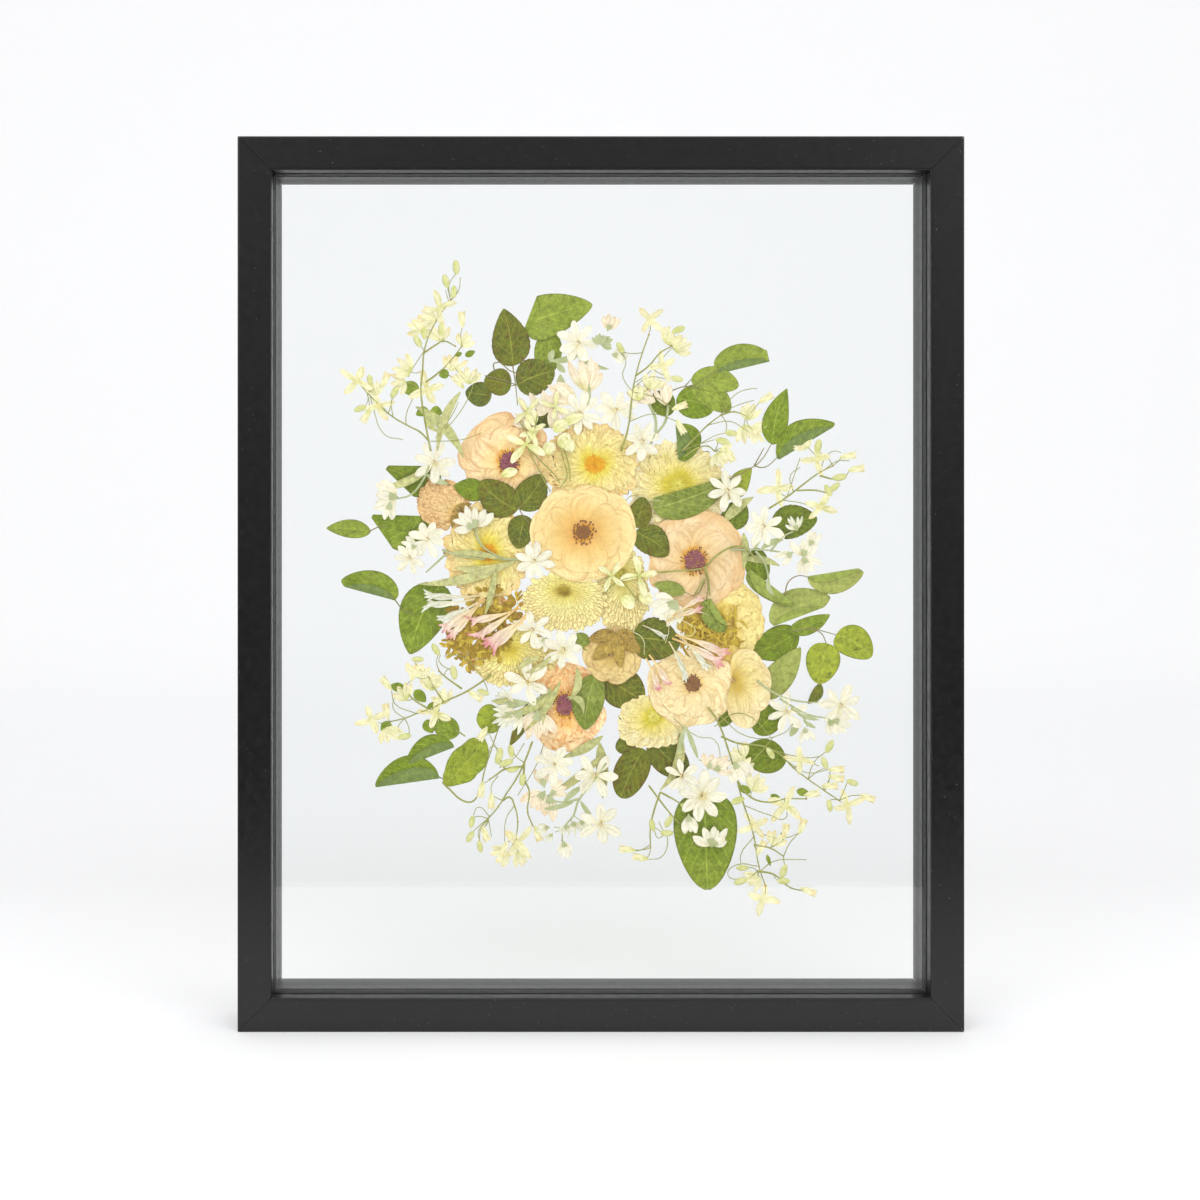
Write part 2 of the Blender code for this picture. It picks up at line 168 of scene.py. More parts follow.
def dried_petal(name, stops, rim, vein, rim_wide, rim_strength, veins, fineness, wander, creases, painted_relief_shade,
                inner_rim=1.0, foot=0.0):
    """Papery petals: colour by distance from the eye, fine streaks along them, a browned rim, and painted shade:
    lighter and darker along the streaks as wrinkles would be lit, and darker at the foot of each petal.
    """
    made, tree, shader = new_finish(name, 0.75)
    u, side, tone, reach, place = sheet_places(tree)
    broad = cloud(tree, place, 75.0, 3.0)
    shift = spread(tree, broad, 0.3, 0.7, -wander, wander)
    colour = ramp(tree, plus(tree, reach, shift), [(at, paint(*shade)) for at, shade in stops])
    rim, vein = paint(*rim), paint(*vein)
    pattern = put(tree, "ShaderNodeCombineXYZ", {
        0: times(tree, u, 2.2),
        1: times(tree, side, fineness / 2),
        2: times(tree, tone, 31.0)})
    streak = cloud(tree, pattern, 1.0, 5.0, 0.66)
    lines = spread(tree, streak, 0.5, 0.62, 0.0, veins)
    colour = mix(tree, lines, colour, vein)
    crumple = cloud(tree, put(tree, "ShaderNodeVectorMath", {0: place, 1: put(tree, "ShaderNodeCombineXYZ", {
        0: tone, 1: tone, 2: 0.0})}, operation="ADD"), 150.0, 6.0, 0.62)
    ridge = calc(tree, "ABSOLUTE", calc(tree, "SUBTRACT", crumple, 0.5))
    folds = spread(tree, ridge, 0.0, 0.035, creases, 0.0)
    colour = mix(tree, folds, colour, vein)
    edge = calc(tree, "SUBTRACT", 1.0, calc(tree, "ABSOLUTE", side))
    edge = calc(tree, "MINIMUM", edge, times(tree, calc(tree, "SUBTRACT", 1.0, u), 2.5))
    edge = plus(tree, edge, spread(tree, streak, 0.3, 0.7, -0.3 * rim_wide, 0.4 * rim_wide))
    browned = spread(tree, reach, 0.45, 0.95, inner_rim, 1.0)
    browned = times(tree, browned, spread(tree, edge, 0.0, rim_wide, rim_strength, 0.0))
    browned = times(tree, browned, spread(tree, u, 0.3, 0.6, 0.15, 1.0))
    colour = mix(tree, browned, colour, rim)
    mottle = cloud(tree, place, 700.0, 3.0)
    light = spread(tree, mottle, 0.3, 0.7, 0.94, 1.05)
    # Painted wrinkle shade and highlight: each petal by its tone, and the streaks along it, made lighter or darker.
    light = times(tree, light, spread(tree, tone, 0.0, 1.0, 0.97 - painted_relief_shade * 0.6, 1.04))
    light = times(tree, light, spread(tree, streak, 0.36, 0.62, 1 + painted_relief_shade * 0.8, 1 - painted_relief_shade * 0.8))
    # Painted shade: the foot of each petal, where the petals above overlap it, is made darker.
    if foot:
        light = times(tree, light, spread(tree, u, 0.78, 0.94, 1 - foot, 1.05))
    shaded(tree, shader, colour, light)
    height = plus(tree, streak, times(tree, mottle, 0.4))
    height = plus(tree, height, times(tree, crumple, 1.5))
    bump(tree, shader, height, 0.6, 0.0004)
    return made


def dried_leaf(name, top, other, under, vein, spots, spot_share):
    """A pressed leaf: two greens that drift, a midrib with side veins, spots, a darker margin that is partly painted
    shade, and a paler underside.
    """
    top, other, under, vein, spots = (paint(*shade) for shade in (top, other, under, vein, spots))
    made, tree, shader = new_finish(name, 0.55, 0.16)
    u, side, tone, reach, place = sheet_places(tree)
    flipped = sheet_value(tree, "under")
    broad = cloud(tree, place, 90.0, 4.0, 0.6)
    share = plus(tree, spread(tree, broad, 0.35, 0.65, -0.3, 0.3), tone)
    share = calc(tree, "MINIMUM", calc(tree, "MAXIMUM", share, 0.0), 1.0)
    colour = mix(tree, share, top, other)
    blotch = cloud(tree, place, 220.0, 5.0, 0.68)
    colour = mix(tree, spread(tree, blotch, 0.54, 0.66, 0.0, spot_share), colour, spots)
    out = calc(tree, "ABSOLUTE", side)
    rib = spread(tree, out, 0.015, 0.05, 0.95, 0.0)
    slant = calc(tree, "SUBTRACT", times(tree, u, 8.0), times(tree, out, 2.4))
    gap = calc(tree, "PINGPONG", slant, 0.5)
    twig = spread(tree, gap, 0.0, 0.1, 0.75, 0.0)
    cells = put(tree, "ShaderNodeTexVoronoi", {"Vector": place, "Scale": 330.0}, feature="DISTANCE_TO_EDGE")
    veins = calc(tree, "MAXIMUM", calc(tree, "MAXIMUM", rib, twig), spread(tree, cells, 0.0, 0.1, 0.42, 0.0))
    colour = mix(tree, times(tree, veins, spread(tree, broad, 0.3, 0.6, 0.5, 1.0)), colour, vein)
    # Darker margin: partly the leaf's own browned edge, partly painted shade that sets overlapping leaves apart.
    rim = calc(tree, "MAXIMUM", spread(tree, out, 0.90, 1.0), spread(tree, u, 0.97, 1.0))
    colour = mix(tree, times(tree, rim, 0.7), colour, spots)
    back = mix(tree, spread(tree, broad, 0.3, 0.7, 0.0, 0.2), under, top)
    back = mix(tree, times(tree, veins, 0.35), back, vein)
    colour = mix(tree, flipped, colour, back)
    light = spread(tree, cloud(tree, place, 330.0, 5.0, 0.66), 0.34, 0.66, 0.7, 1.18)
    shaded(tree, shader, colour, light)
    grain = cloud(tree, place, 1500.0, 2.0)
    height = plus(tree, times(tree, grain, 0.3), times(tree, veins, -0.8))
    bump(tree, shader, height, 0.4, 0.0002)
    return made


def dry_fibre(name, one, two, scale=160.0):
    """Stems, stamens, buds and seeds: two colours that drift along the piece."""
    one, two = paint(*one), paint(*two)
    made, tree, shader = new_finish(name, 0.7)
    place = place_of(tree)
    drift = cloud(tree, place, scale, 4.0, 0.6)
    colour = mix(tree, spread(tree, drift, 0.35, 0.65), one, two)
    speck = cloud(tree, place, scale * 9, 2.0)
    colour = mix(tree, spread(tree, speck, 0.58, 0.75, 0.0, 0.4), colour, two)
    tree.links.new(colour, shader.inputs["Base Color"])
    bump(tree, shader, speck, 0.3, 0.0002)
    return made


# ---- Sheet tools -------------------------------------------------------------------------------
def new_sheet():
    bm = bmesh.new()
    bm.loops.layers.uv.new("UVMap")
    bm.verts.layers.float.new("tone")
    bm.verts.layers.float.new("reach")
    bm.faces.layers.float.new("under")
    return bm


def lift_of(layer):
    return LAYER_0 + LAYER_STEP * layer


def away(x, z, angle, out):
    """The point that lies out from (x, z) at an angle."""
    return x + out * math.cos(angle), z + out * math.sin(angle)


def wear(faces, slot):
    for face in faces:
        face.material_index = slot
        face.smooth = True


def blade(bm, base, tip, wide, lift, belly=0.5, blunt=0.6, bend=0.0, cup=0.0, roll=0.0,
          ruffle=0.0, ripple=4.0, ragged=0.0, teeth=0, narrow=0.06, square=0.05, rows=8, cols=4,
          tone=None, eye=None, radii=None, slot=0):
    """One petal or leaf: a grid drawn into an outline from base to tip, then curled and ruffled."""
    start = Vector(base)
    axis = Vector(tip) - start
    length = axis.length
    along = axis / length
    across = Vector((-along.y, along.x))
    swell = math.log(0.5) / math.log(belly)
    shade = chance.random() if tone is None else tone
    seed = chance.uniform(0, 90)
    lift += chance.uniform(0.0, 0.045)
    tone_layer = bm.verts.layers.float["tone"]
    reach_layer = bm.verts.layers.float["reach"]
    made = bmesh.ops.create_grid(bm, x_segments=rows, y_segments=cols, size=1, calc_uvs=True)["verts"]
    for v in made:
        s = (v.co.x + 1) / 2
        side = v.co.y
        t = 0.3 * s + 0.7 * (0.5 - 0.5 * math.cos(math.pi * s))
        half = max(math.sin(math.pi * min(t, 0.9999) ** swell) ** blunt, narrow if t < belly else square)
        if abs(side) > 0.99:
            half *= 1 + ragged * noise.noise(Vector((s * 7, side * 3, seed)))
            half *= 1 - (0.06 * ((s * teeth) % 1) if teeth else 0)
        run = t * length
        if s > 0.99 and ragged:
            run *= 1 + 0.35 * ragged * noise.noise(Vector((side * 3, seed, 1)))
        out = side * half * wide / 2 + bend * length * 4 * t * (1 - t)
        point = start + along * run + across * out
        rise = lift + cup * side * side + roll * side
        if ruffle:
            where = Vector((point.x / ripple, point.y / ripple, seed))
            rise += ruffle * noise.noise(where) * (0.3 + 0.7 * t)
        v.co = (point.x, BACK - rise, point.y)
        v[tone_layer] = shade
        if eye is None:
            v[reach_layer] = t
        else:
            v[reach_layer] = math.hypot((point.x - eye[0]) / radii[0], (point.y - eye[1]) / radii[1])
    wear({f for v in made for f in v.link_faces}, slot)


def join(bm, part, mesh):
    """Adds a separately made part to the work."""
    part.to_mesh(mesh)
    part.free()
    bm.from_mesh(mesh)
    bpy.data.meshes.remove(mesh)


def folded(bm, base, tip, wide, lift, creases, **shape):
    """A leaf with parts turned over. A crease is (width at the base, width at the tip) from the midrib, or a
    line (x, z, x, z). The part is turned onto the front, or behind when the line has a fifth value."""
    leaf = new_sheet()
    blade(leaf, base, tip, wide, lift, **shape)
    under = leaf.faces.layers.float["under"]
    start = Vector(base)
    axis = Vector(tip) - start
    along = axis.normalized()
    across = Vector((-along.y, along.x))
    for crease in creases:
        if len(crease) == 2:
            first = start + across * crease[0]
            last = start + axis + across * crease[1]
        else:
            first, last = Vector(crease[:2]), Vector(crease[2:4])
        behind = len(crease) == 5
        way = (last - first).normalized()
        out = Vector((-way.y, way.x))
        if (start + axis * 0.5 - first).dot(out) > 0:
            out = -out
        bmesh.ops.bisect_plane(leaf, geom=leaf.verts[:] + leaf.edges[:] + leaf.faces[:], dist=1e-4,
                               plane_co=(first.x, 0, first.y), plane_no=(out.x, 0, out.y))
        past = {v: (Vector((v.co.x, v.co.z)) - first).dot(out) for v in leaf.verts}
        for face in leaf.faces:
            if sum(past[v] for v in face.verts) > 1e-4 and not behind:
                face[under] = 1.0
        for v, gone in past.items():
            if gone > 1e-4:
                v.co.x -= 2 * gone * out.x
                v.co.z -= 2 * gone * out.y
                v.co.y += 0.1 if behind else -0.1 - min(0.3 * gone, 0.28)
    join(bm, leaf, bpy.data.meshes.new("leaf"))


def thicken(bm, thick=PETAL_THICK):
    """Gives every sheet so far its thickness, and keeps its rims and creases crisp."""
    bm.normal_update()
    outward = {v: v.normal.copy() for v in bm.verts}
    bmesh.ops.extrude_face_region(bm, geom=bm.faces[:])
    for v, way in outward.items():
        v.co -= way * thick
    bm.normal_update()
    for edge in bm.edges:
        if edge.is_manifold and edge.calc_face_angle() > 1.0:
            edge.smooth = False


def stalks(bm, routes, thick, lift, slot, taper=0.6):
    """Smooth round stalks along routes of (x, z) or (x, z, extra lift)."""
    curve = bpy.data.curves.new("stalk", "CURVE")
    curve.dimensions = "3D"
    curve.bevel_depth = thick / 2
    curve.bevel_resolution = 1
    curve.resolution_u = 4
    curve.use_fill_caps = True
    for route in routes:
        line = curve.splines.new("BEZIER")
        line.bezier_points.add(len(route) - 1)
        for i, (knot, at) in enumerate(zip(line.bezier_points, route)):
            knot.handle_left_type = "AUTO"
            knot.handle_right_type = "AUTO"
            more = at[2] if len(at) > 2 else 0.0
            knot.co = (at[0], BACK - lift - more, at[1])
            knot.radius = 1 - (1 - taper) * i / (len(route) - 1)
    drawn = bpy.data.objects.new("stalk", curve)
    bpy.context.scene.collection.objects.link(drawn)
    mesh = bpy.data.meshes.new_from_object(drawn.evaluated_get(bpy.context.evaluated_depsgraph_get()))
    bpy.data.objects.remove(drawn)
    bpy.data.curves.remove(curve)
    tube = bmesh.new()
    tube.from_mesh(mesh)
    bmesh.ops.remove_doubles(tube, verts=tube.verts, dist=1e-4)
    bmesh.ops.recalc_face_normals(tube, faces=tube.faces)
    wear(tube.faces, slot)
    join(bm, tube, mesh)


def ball(bm, x, z, lift, size, slot, angle=0.0, sides=0):
    """A small bead or seed, or a bud when it has sides: size is (length, width, depth)."""
    at = Matrix.Translation((x, BACK - lift, z)) @ Matrix.Rotation(-angle, 4, "Y")
    at = at @ Matrix.Diagonal((size[0] / 2, size[2] / 2, size[1] / 2, 1))
    if sides:
        at = at @ Matrix.Rotation(math.pi / 2, 4, "Y")
        made = bmesh.ops.create_uvsphere(bm, u_segments=sides, v_segments=6, radius=1, matrix=at)["verts"]
    else:
        made = bmesh.ops.create_icosphere(bm, subdivisions=1, radius=1, matrix=at)["verts"]
    layer = bm.verts.layers.float["reach"]
    for v in made:
        v[layer] = 0.5
    wear({f for v in made for f in v.link_faces}, slot)


def done(name, bm, finishes, node):
    """Turns the work into a finished piece that rides on the frame, in place of a packed plate if one is named."""
    bmesh.ops.scale(bm, vec=(MM, MM, MM), verts=bm.verts)
    mesh = bpy.data.meshes.new(name)
    bm.to_mesh(mesh)
    bm.free()
    for finish in finishes:
        mesh.materials.append(finish)
    piece = bpy.data.objects.new(name, mesh)
    bpy.context.scene.collection.objects.link(piece)
    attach(piece, "root")
    if node:
        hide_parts(node)


# ---- Finishes ----------------------------------------------------------------------------------
PEACH = dried_petal("petal_peach", [
    (0.0, (214, 134, 50)), (0.2, (242, 186, 92)), (0.4, (252, 222, 152)),
    (0.85, (254, 231, 178)), (1.05, (250, 218, 162))],
    (214, 142, 76), (234, 172, 104), 0.06, 0.75, 0.6, 12.0, 0.1, 0.35, 0.08)
PINK_PEACH = dried_petal("petal_pink_peach", [
    (0.0, (214, 144, 50)), (0.2, (236, 190, 108)), (0.4, (244, 213, 156)),
    (0.85, (247, 220, 172)), (1.05, (240, 204, 148))],
    (216, 158, 98), (232, 182, 118), 0.05, 0.6, 0.55, 12.0, 0.1, 0.3, 0.07)
WRINKLED_PEACH = dried_petal("petal_wrinkled_peach", [
    (0.0, (214, 150, 50)), (0.3, (244, 196, 114)), (0.6, (253, 218, 158)),
    (1.0, (254, 226, 174))],
    (226, 154, 84), (234, 156, 78), 0.06, 0.7, 0.75, 7.0, 0.3, 0.85, 0.1)
BUTTER = dried_petal("petal_butter", [
    (0.0, (206, 128, 44)), (0.16, (228, 168, 78)), (0.42, (240, 198, 116)),
    (0.75, (249, 220, 150)), (1.0, (252, 231, 166))],
    (218, 164, 90), (230, 182, 102), 0.07, 0.8, 0.35, 9.0, 0.07, 0.2, 0.04)
CREAM = dried_petal("petal_cream", [
    (0.0, (196, 136, 60)), (0.18, (240, 198, 118)), (0.4, (252, 230, 172)),
    (1.0, (254, 237, 186))],
    (216, 166, 98), (232, 190, 116), 0.08, 0.7, 0.5, 8.0, 0.1, 0.45, 0.07)
YELLOW_MUM = dried_petal("petal_yellow_mum", [
    (0.0, (228, 172, 20)), (0.15, (238, 204, 40)), (0.3, (248, 232, 92)),
    (0.52, (252, 238, 150)), (0.88, (253, 238, 166)), (1.1, (248, 222, 154))],
    (212, 152, 88), (226, 184, 80), 0.14, 0.8, 0.6, 5.0, 0.1, 0.2, 0.08, 0.35, 0.08)
GREEN_MUM = dried_petal("petal_green_mum", [
    (0.0, (200, 186, 34)), (0.3, (230, 214, 62)), (0.5, (250, 234, 134)),
    (1.0, (254, 242, 188))],
    (220, 174, 100), (222, 200, 78), 0.14, 0.75, 0.55, 5.0, 0.12, 0.2, 0.08, 0.4, 0.1)
PALE_MUM = dried_petal("petal_pale_mum", [
    (0.0, (132, 104, 8)), (0.14, (176, 154, 42)), (0.28, (240, 228, 122)),
    (0.6, (255, 248, 166)), (1.05, (255, 243, 170))],
    (172, 122, 54), (212, 176, 78), 0.32, 0.85, 0.3, 2.0, 0.1, 0.05, 0.05, 0.75)
GOLD_MUM = dried_petal("petal_gold_mum", [
    (0.0, (180, 160, 20)), (0.18, (222, 202, 56)), (0.35, (246, 232, 110)),
    (0.7, (255, 246, 164)), (1.05, (254, 240, 164))],
    (176, 130, 54), (212, 180, 72), 0.32, 0.85, 0.35, 2.2, 0.12, 0.05, 0.05, 0.75)
CRINKLED = dried_petal("petal_crinkled_yellow", [
    (0.0, (140, 108, 16)), (0.42, (180, 150, 38)), (0.6, (234, 206, 96)),
    (0.78, (240, 212, 112)), (1.0, (251, 232, 152))],
    (216, 172, 88), (214, 176, 76), 0.1, 0.55, 0.5, 5.0, 0.16, 0.5, 0.08)
CRUMPLED = dried_petal("petal_crumpled_peach", [
    (0.0, (226, 186, 98)), (0.5, (244, 216, 152)), (1.0, (244, 208, 146))],
    (206, 142, 80), (212, 150, 88), 0.14, 0.8, 0.75, 6.5, 0.3, 0.6, 0.14)
HALF_BLOOM = dried_petal("petal_half_bloom", [
    (0.0, (160, 110, 35)), (0.16, (214, 182, 72)), (0.42, (243, 222, 146)),
    (1.0, (253, 236, 184))],
    (204, 156, 80), (220, 184, 102), 0.07, 0.85, 0.45, 8.0, 0.1, 0.35, 0.08)
CLOSED_BLOOM = dried_petal("petal_closed_bloom", [
    (0.0, (160, 110, 35)), (0.3, (216, 184, 100)), (0.7, (234, 206, 134)),
    (1.0, (236, 210, 142))],
    (172, 122, 58), (198, 154, 84), 0.09, 0.9, 0.5, 8.0, 0.12, 0.4, 0.1)
CLEMATIS = dried_petal("clematis_petal", [
    (0.0, (216, 218, 138)), (0.25, (242, 238, 188)), (0.8, (249, 242, 202)),
    (1.15, (246, 228, 174))],
    (226, 212, 134), (222, 216, 138), 0.16, 0.6, 0.6, 4.0, 0.3, 0.3, 0.12)
WHITE = dried_petal("white_petal", [
    (0.0, (230, 216, 152)), (0.2, (244, 238, 208)), (0.8, (250, 246, 226)),
    (1.0, (246, 239, 212))],
    (226, 212, 168), (228, 220, 182), 0.12, 0.7, 0.55, 5.0, 0.2, 0.35, 0.08)
BLUSH = dried_petal("blush_petal", [
    (0.0, (222, 212, 150)), (0.3, (249, 238, 206)), (0.8, (251, 239, 212)),
    (1.0, (248, 224, 186))],
    (226, 186, 138), (232, 204, 154), 0.10, 0.6, 0.65, 6.0, 0.25, 0.4, 0.1)
STAR_GREEN = dried_petal("green_star_petal", [
    (0.0, (218, 222, 132)), (0.4, (243, 239, 178)), (1.0, (251, 246, 204))],
    (216, 214, 136), (214, 212, 124), 0.12, 0.6, 0.5, 4.0, 0.16, 0.3, 0.12)
TUBE = dried_petal("tube_petal", [
    (0.0, (232, 188, 96)), (0.3, (249, 228, 168)), (0.72, (252, 238, 214)),
    (0.93, (247, 208, 198)), (1.1, (230, 142, 160))],
    (214, 162, 112), (224, 172, 120), 0.16, 0.6, 0.6, 2.4, 0.1, 0.2, 0.08)
PALE_TUBE = dried_petal("pale_tube_petal", [
    (0.0, (236, 204, 136)), (0.4, (242, 236, 204)), (1.0, (242, 243, 226))],
    (196, 198, 164), (194, 196, 164), 0.2, 0.7, 0.6, 3.0, 0.1, 0.25, 0.12)

DARK_LEAF = dried_leaf("leaf_dark_olive", (112, 114, 8), (86, 104, 28), (120, 130, 58),
                       (158, 158, 58), (104, 66, 20), 0.8)
GREEN_LEAF = dried_leaf("leaf_green", (114, 138, 8), (146, 161, 58), (118, 138, 74),
                        (174, 190, 70), (98, 108, 14), 0.5)
DEEP_LEAF = dried_leaf("leaf_deep_green", (116, 138, 12), (104, 122, 22), (124, 144, 66),
                       (158, 174, 54), (106, 90, 16), 0.5)
GREY_LEAF = dried_leaf("leaf_grey_green", (118, 134, 40), (168, 175, 88), (158, 172, 76),
                       (178, 190, 96), (128, 126, 34), 0.45)
LANCE = dried_leaf("leaf_lance", (206, 204, 138), (186, 190, 118), (196, 200, 140),
                   (222, 220, 162), (172, 156, 78), 0.6)
MOTTLED_LEAF = dried_leaf("leaf_mottled", (166, 176, 46), (138, 156, 30), (126, 142, 66),
                          (182, 190, 74), (86, 104, 8), 1.0)
SEPAL = dried_leaf("sepal_olive", (184, 152, 58), (152, 118, 38), (190, 168, 106),
                   (216, 194, 122), (108, 76, 26), 0.9)

STEM = dry_fibre("stem_green", (146, 152, 68), (172, 170, 96))
BROWN_STEM = dry_fibre("stem_brown", (150, 128, 84), (130, 134, 76))
GREY_STEM = dry_fibre("stem_grey_green", (192, 198, 152), (170, 178, 122))
BUD = dry_fibre("bud_green", (198, 204, 116), (226, 224, 162), 300.0)
STAMEN = dry_fibre("stamen_cream", (250, 246, 206), (236, 224, 150))
SEED = dry_fibre("seed_brown", (164, 110, 50), (214, 170, 96), 500.0)
PURPLE = dry_fibre("eye_purple", (140, 72, 92), (176, 106, 116), 500.0)
ANTHER = dry_fibre("anther_dark", (92, 54, 40), (130, 84, 54), 500.0)
BROWN_EYE = dry_fibre("eye_brown", (132, 88, 50), (158, 110, 64), 500.0)
GOLD_EYE = dry_fibre("eye_gold", (226, 150, 0), (240, 184, 16), 400.0)
OLIVE_EYE = dry_fibre("eye_olive", (150, 130, 20), (186, 164, 44), 400.0)
LIME_EYE = dry_fibre("eye_lime", (216, 208, 70), (236, 226, 120), 400.0)
STRING = dry_fibre("string_olive", (186, 156, 30), (222, 194, 72), 400.0)
OLD_GOLD = dry_fibre("scale_old_gold", (186, 152, 36), (152, 122, 24), 300.0)


# ---- Flower heads ------------------------------------------------------------------------------
HAIR = dict(rows=3, cols=1, narrow=0.5, square=0.4)


def around(node):
    """Centre and half sizes of a pressed plate, seen from the front."""
    low, high = (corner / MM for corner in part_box(node))
    return ((low.x + high.x) / 2, (low.z + high.z) / 2), ((high.x - low.x) / 2, (high.z - low.z) / 2)


def rim_point(centre, radii, angle, share=1.0):
    """A point of an oval, or a share of the way out to it."""
    return centre[0] + radii[0] * share * math.cos(angle), centre[1] + radii[1] * share * math.sin(angle)


def ring(bm, centre, radii, eye, count, inner, outer, wide, lift, start, vary, **shape):
    """Petals that fan out from the eye to the rim of the head."""
    for k in range(count):
        angle = math.radians(start + 360.0 * (k + chance.uniform(-0.12, 0.12)) / count)
        reach = outer * (1 + chance.uniform(-vary, vary))
        tip = rim_point(centre, radii, angle, reach)
        base = (eye[0] + (tip[0] - eye[0]) * inner, eye[1] + (tip[1] - eye[1]) * inner)
        size = wide * (1 + chance.uniform(-vary, vary)) * 1.3
        blade(bm, base, tip, size, lift + 0.012 * (k % 9), eye=eye, radii=radii, **shape)


def mound(bm, eye, radius, count, size, lift, slot, rise):
    """A packed eye: beads on a sunflower spiral."""
    for k in range(count):
        out = math.sqrt((k + 0.5) / count)
        angle = k * SUNFLOWER_TURN
        x = eye[0] + radius[0] * out * math.cos(angle)
        z = eye[1] + radius[1] * out * math.sin(angle)
        width = size * chance.uniform(0.75, 1.25)
        ball(bm, x, z, lift + rise * (1 - out * out), (width, width, BEAD_DEPTH), slot)


def tuft(bm, eye, radius, count, lift, slot):
    """A brushy eye: short florets that lean outwards from the middle."""
    for k in range(count):
        out = math.sqrt((count - k - 0.5) / count)
        angle = k * SUNFLOWER_TURN + chance.uniform(-0.2, 0.2)
        way = (math.cos(angle), math.sin(angle))
        foot = (eye[0] + radius[0] * out * 0.8 * way[0], eye[1] + radius[1] * out * 0.8 * way[1])
        long = chance.uniform(1.0, 2.2) * (0.5 + 0.5 * out)
        tip = (foot[0] + long * way[0], foot[1] + long * way[1])
        blade(bm, foot, tip, chance.uniform(0.6, 1.0), lift + 0.35 * (1 - out), 0.6, 0.5,
              chance.uniform(-0.15, 0.15), 0.1, rows=3, cols=2, narrow=0.4, square=0.3, slot=slot)


def threads(bm, eye, inner, outer, count, wide, lift, slot):
    """Fine filaments round an eye. Gives back where they end, for the beads."""
    ends = []
    for k in range(count):
        angle = math.radians(360.0 * (k + chance.uniform(-0.4, 0.4)) / count)
        ends.append(rim_point(eye, outer, angle, chance.uniform(0.72, 1.05)))
        blade(bm, rim_point(eye, inner, angle), ends[-1], wide, lift, 0.5, 0.3, chance.uniform(-0.1, 0.1),
              slot=slot, **HAIR)
    return ends


def beads(bm, places, size, lift, slot):
    for x, z in places:
        ball(bm, x, z, lift, (size * chance.uniform(0.7, 1.2), size, BEAD_DEPTH), slot)


def smooth_head(node, layer, eye, outer, inner, finish, eye_radius, eye_slot, ruffle=0.35,
                dots=26, fringe=True):
    """A ranunculus pressed open: two rings of broad papery petals (count, width, first turn), a packed eye,
    and stamens round it."""
    centre, radii = around(node)
    low = lift_of(layer)
    bm = new_sheet()
    count, wide, start = outer
    ring(bm, centre, radii, eye, count, -0.06, 1.0, wide, low, start, 0.03, belly=0.66, blunt=0.42,
         ruffle=ruffle, ripple=9.0, roll=0.12, ragged=0.05, rows=14, cols=12, narrow=0.1)
    count, wide, start = inner
    ring(bm, centre, radii, eye, count, -0.06, 0.8, wide, low + 0.3, start, 0.06, belly=0.64, blunt=0.42,
         ruffle=ruffle, ripple=8.0, roll=0.12, ragged=0.05, rows=12, cols=10, narrow=0.1)
    near, inside, brush, outside = (tuple(r * share for r in eye_radius) for share in (0.7, 0.6, 1.5, 1.3))
    if fringe:
        threads(bm, eye, near, brush, 46, 0.55, low + 0.66, 1)
    ends = threads(bm, eye, inside, outside, dots, 0.3, low + 0.72, 2)
    thicken(bm)
    mound(bm, eye, eye_radius, 70, 1.5, low + 0.75, 3, 0.35)
    beads(bm, ends, 0.95, low + 0.85, 2)
    done(node + "_petals", bm, [finish, GOLD_EYE, ANTHER, eye_slot], node)


def ragged_head(node, layer, eye, rings, finish, eye_finish, eye_radius):
    """A mum pressed open: rings of many thin petals, the lowest the longest, round a packed eye.
    Each ring: count, reach, width, ruffle, and how far out the petals begin when they are short."""
    centre, radii = around(node)
    low = lift_of(layer)
    bm = new_sheet()
    for i, (count, outer, wide, ruffle, *inner) in enumerate(rings):
        ring(bm, centre, radii, eye, count, inner[0] if inner else -0.05, outer, wide, low + 0.09 * i, 17.0 * i,
             0.07, belly=0.72, blunt=0.5, ruffle=ruffle, ripple=2.6, roll=0.1, cup=0.12, ragged=0.2,
             rows=8, cols=4, narrow=0.14)
    tuft(bm, eye, eye_radius, int(7 * eye_radius[0] * eye_radius[1]) + 30, low + 0.5, 1)
    thicken(bm, FINE_THICK)
    done(node + "_petals", bm, [finish, eye_finish], node)


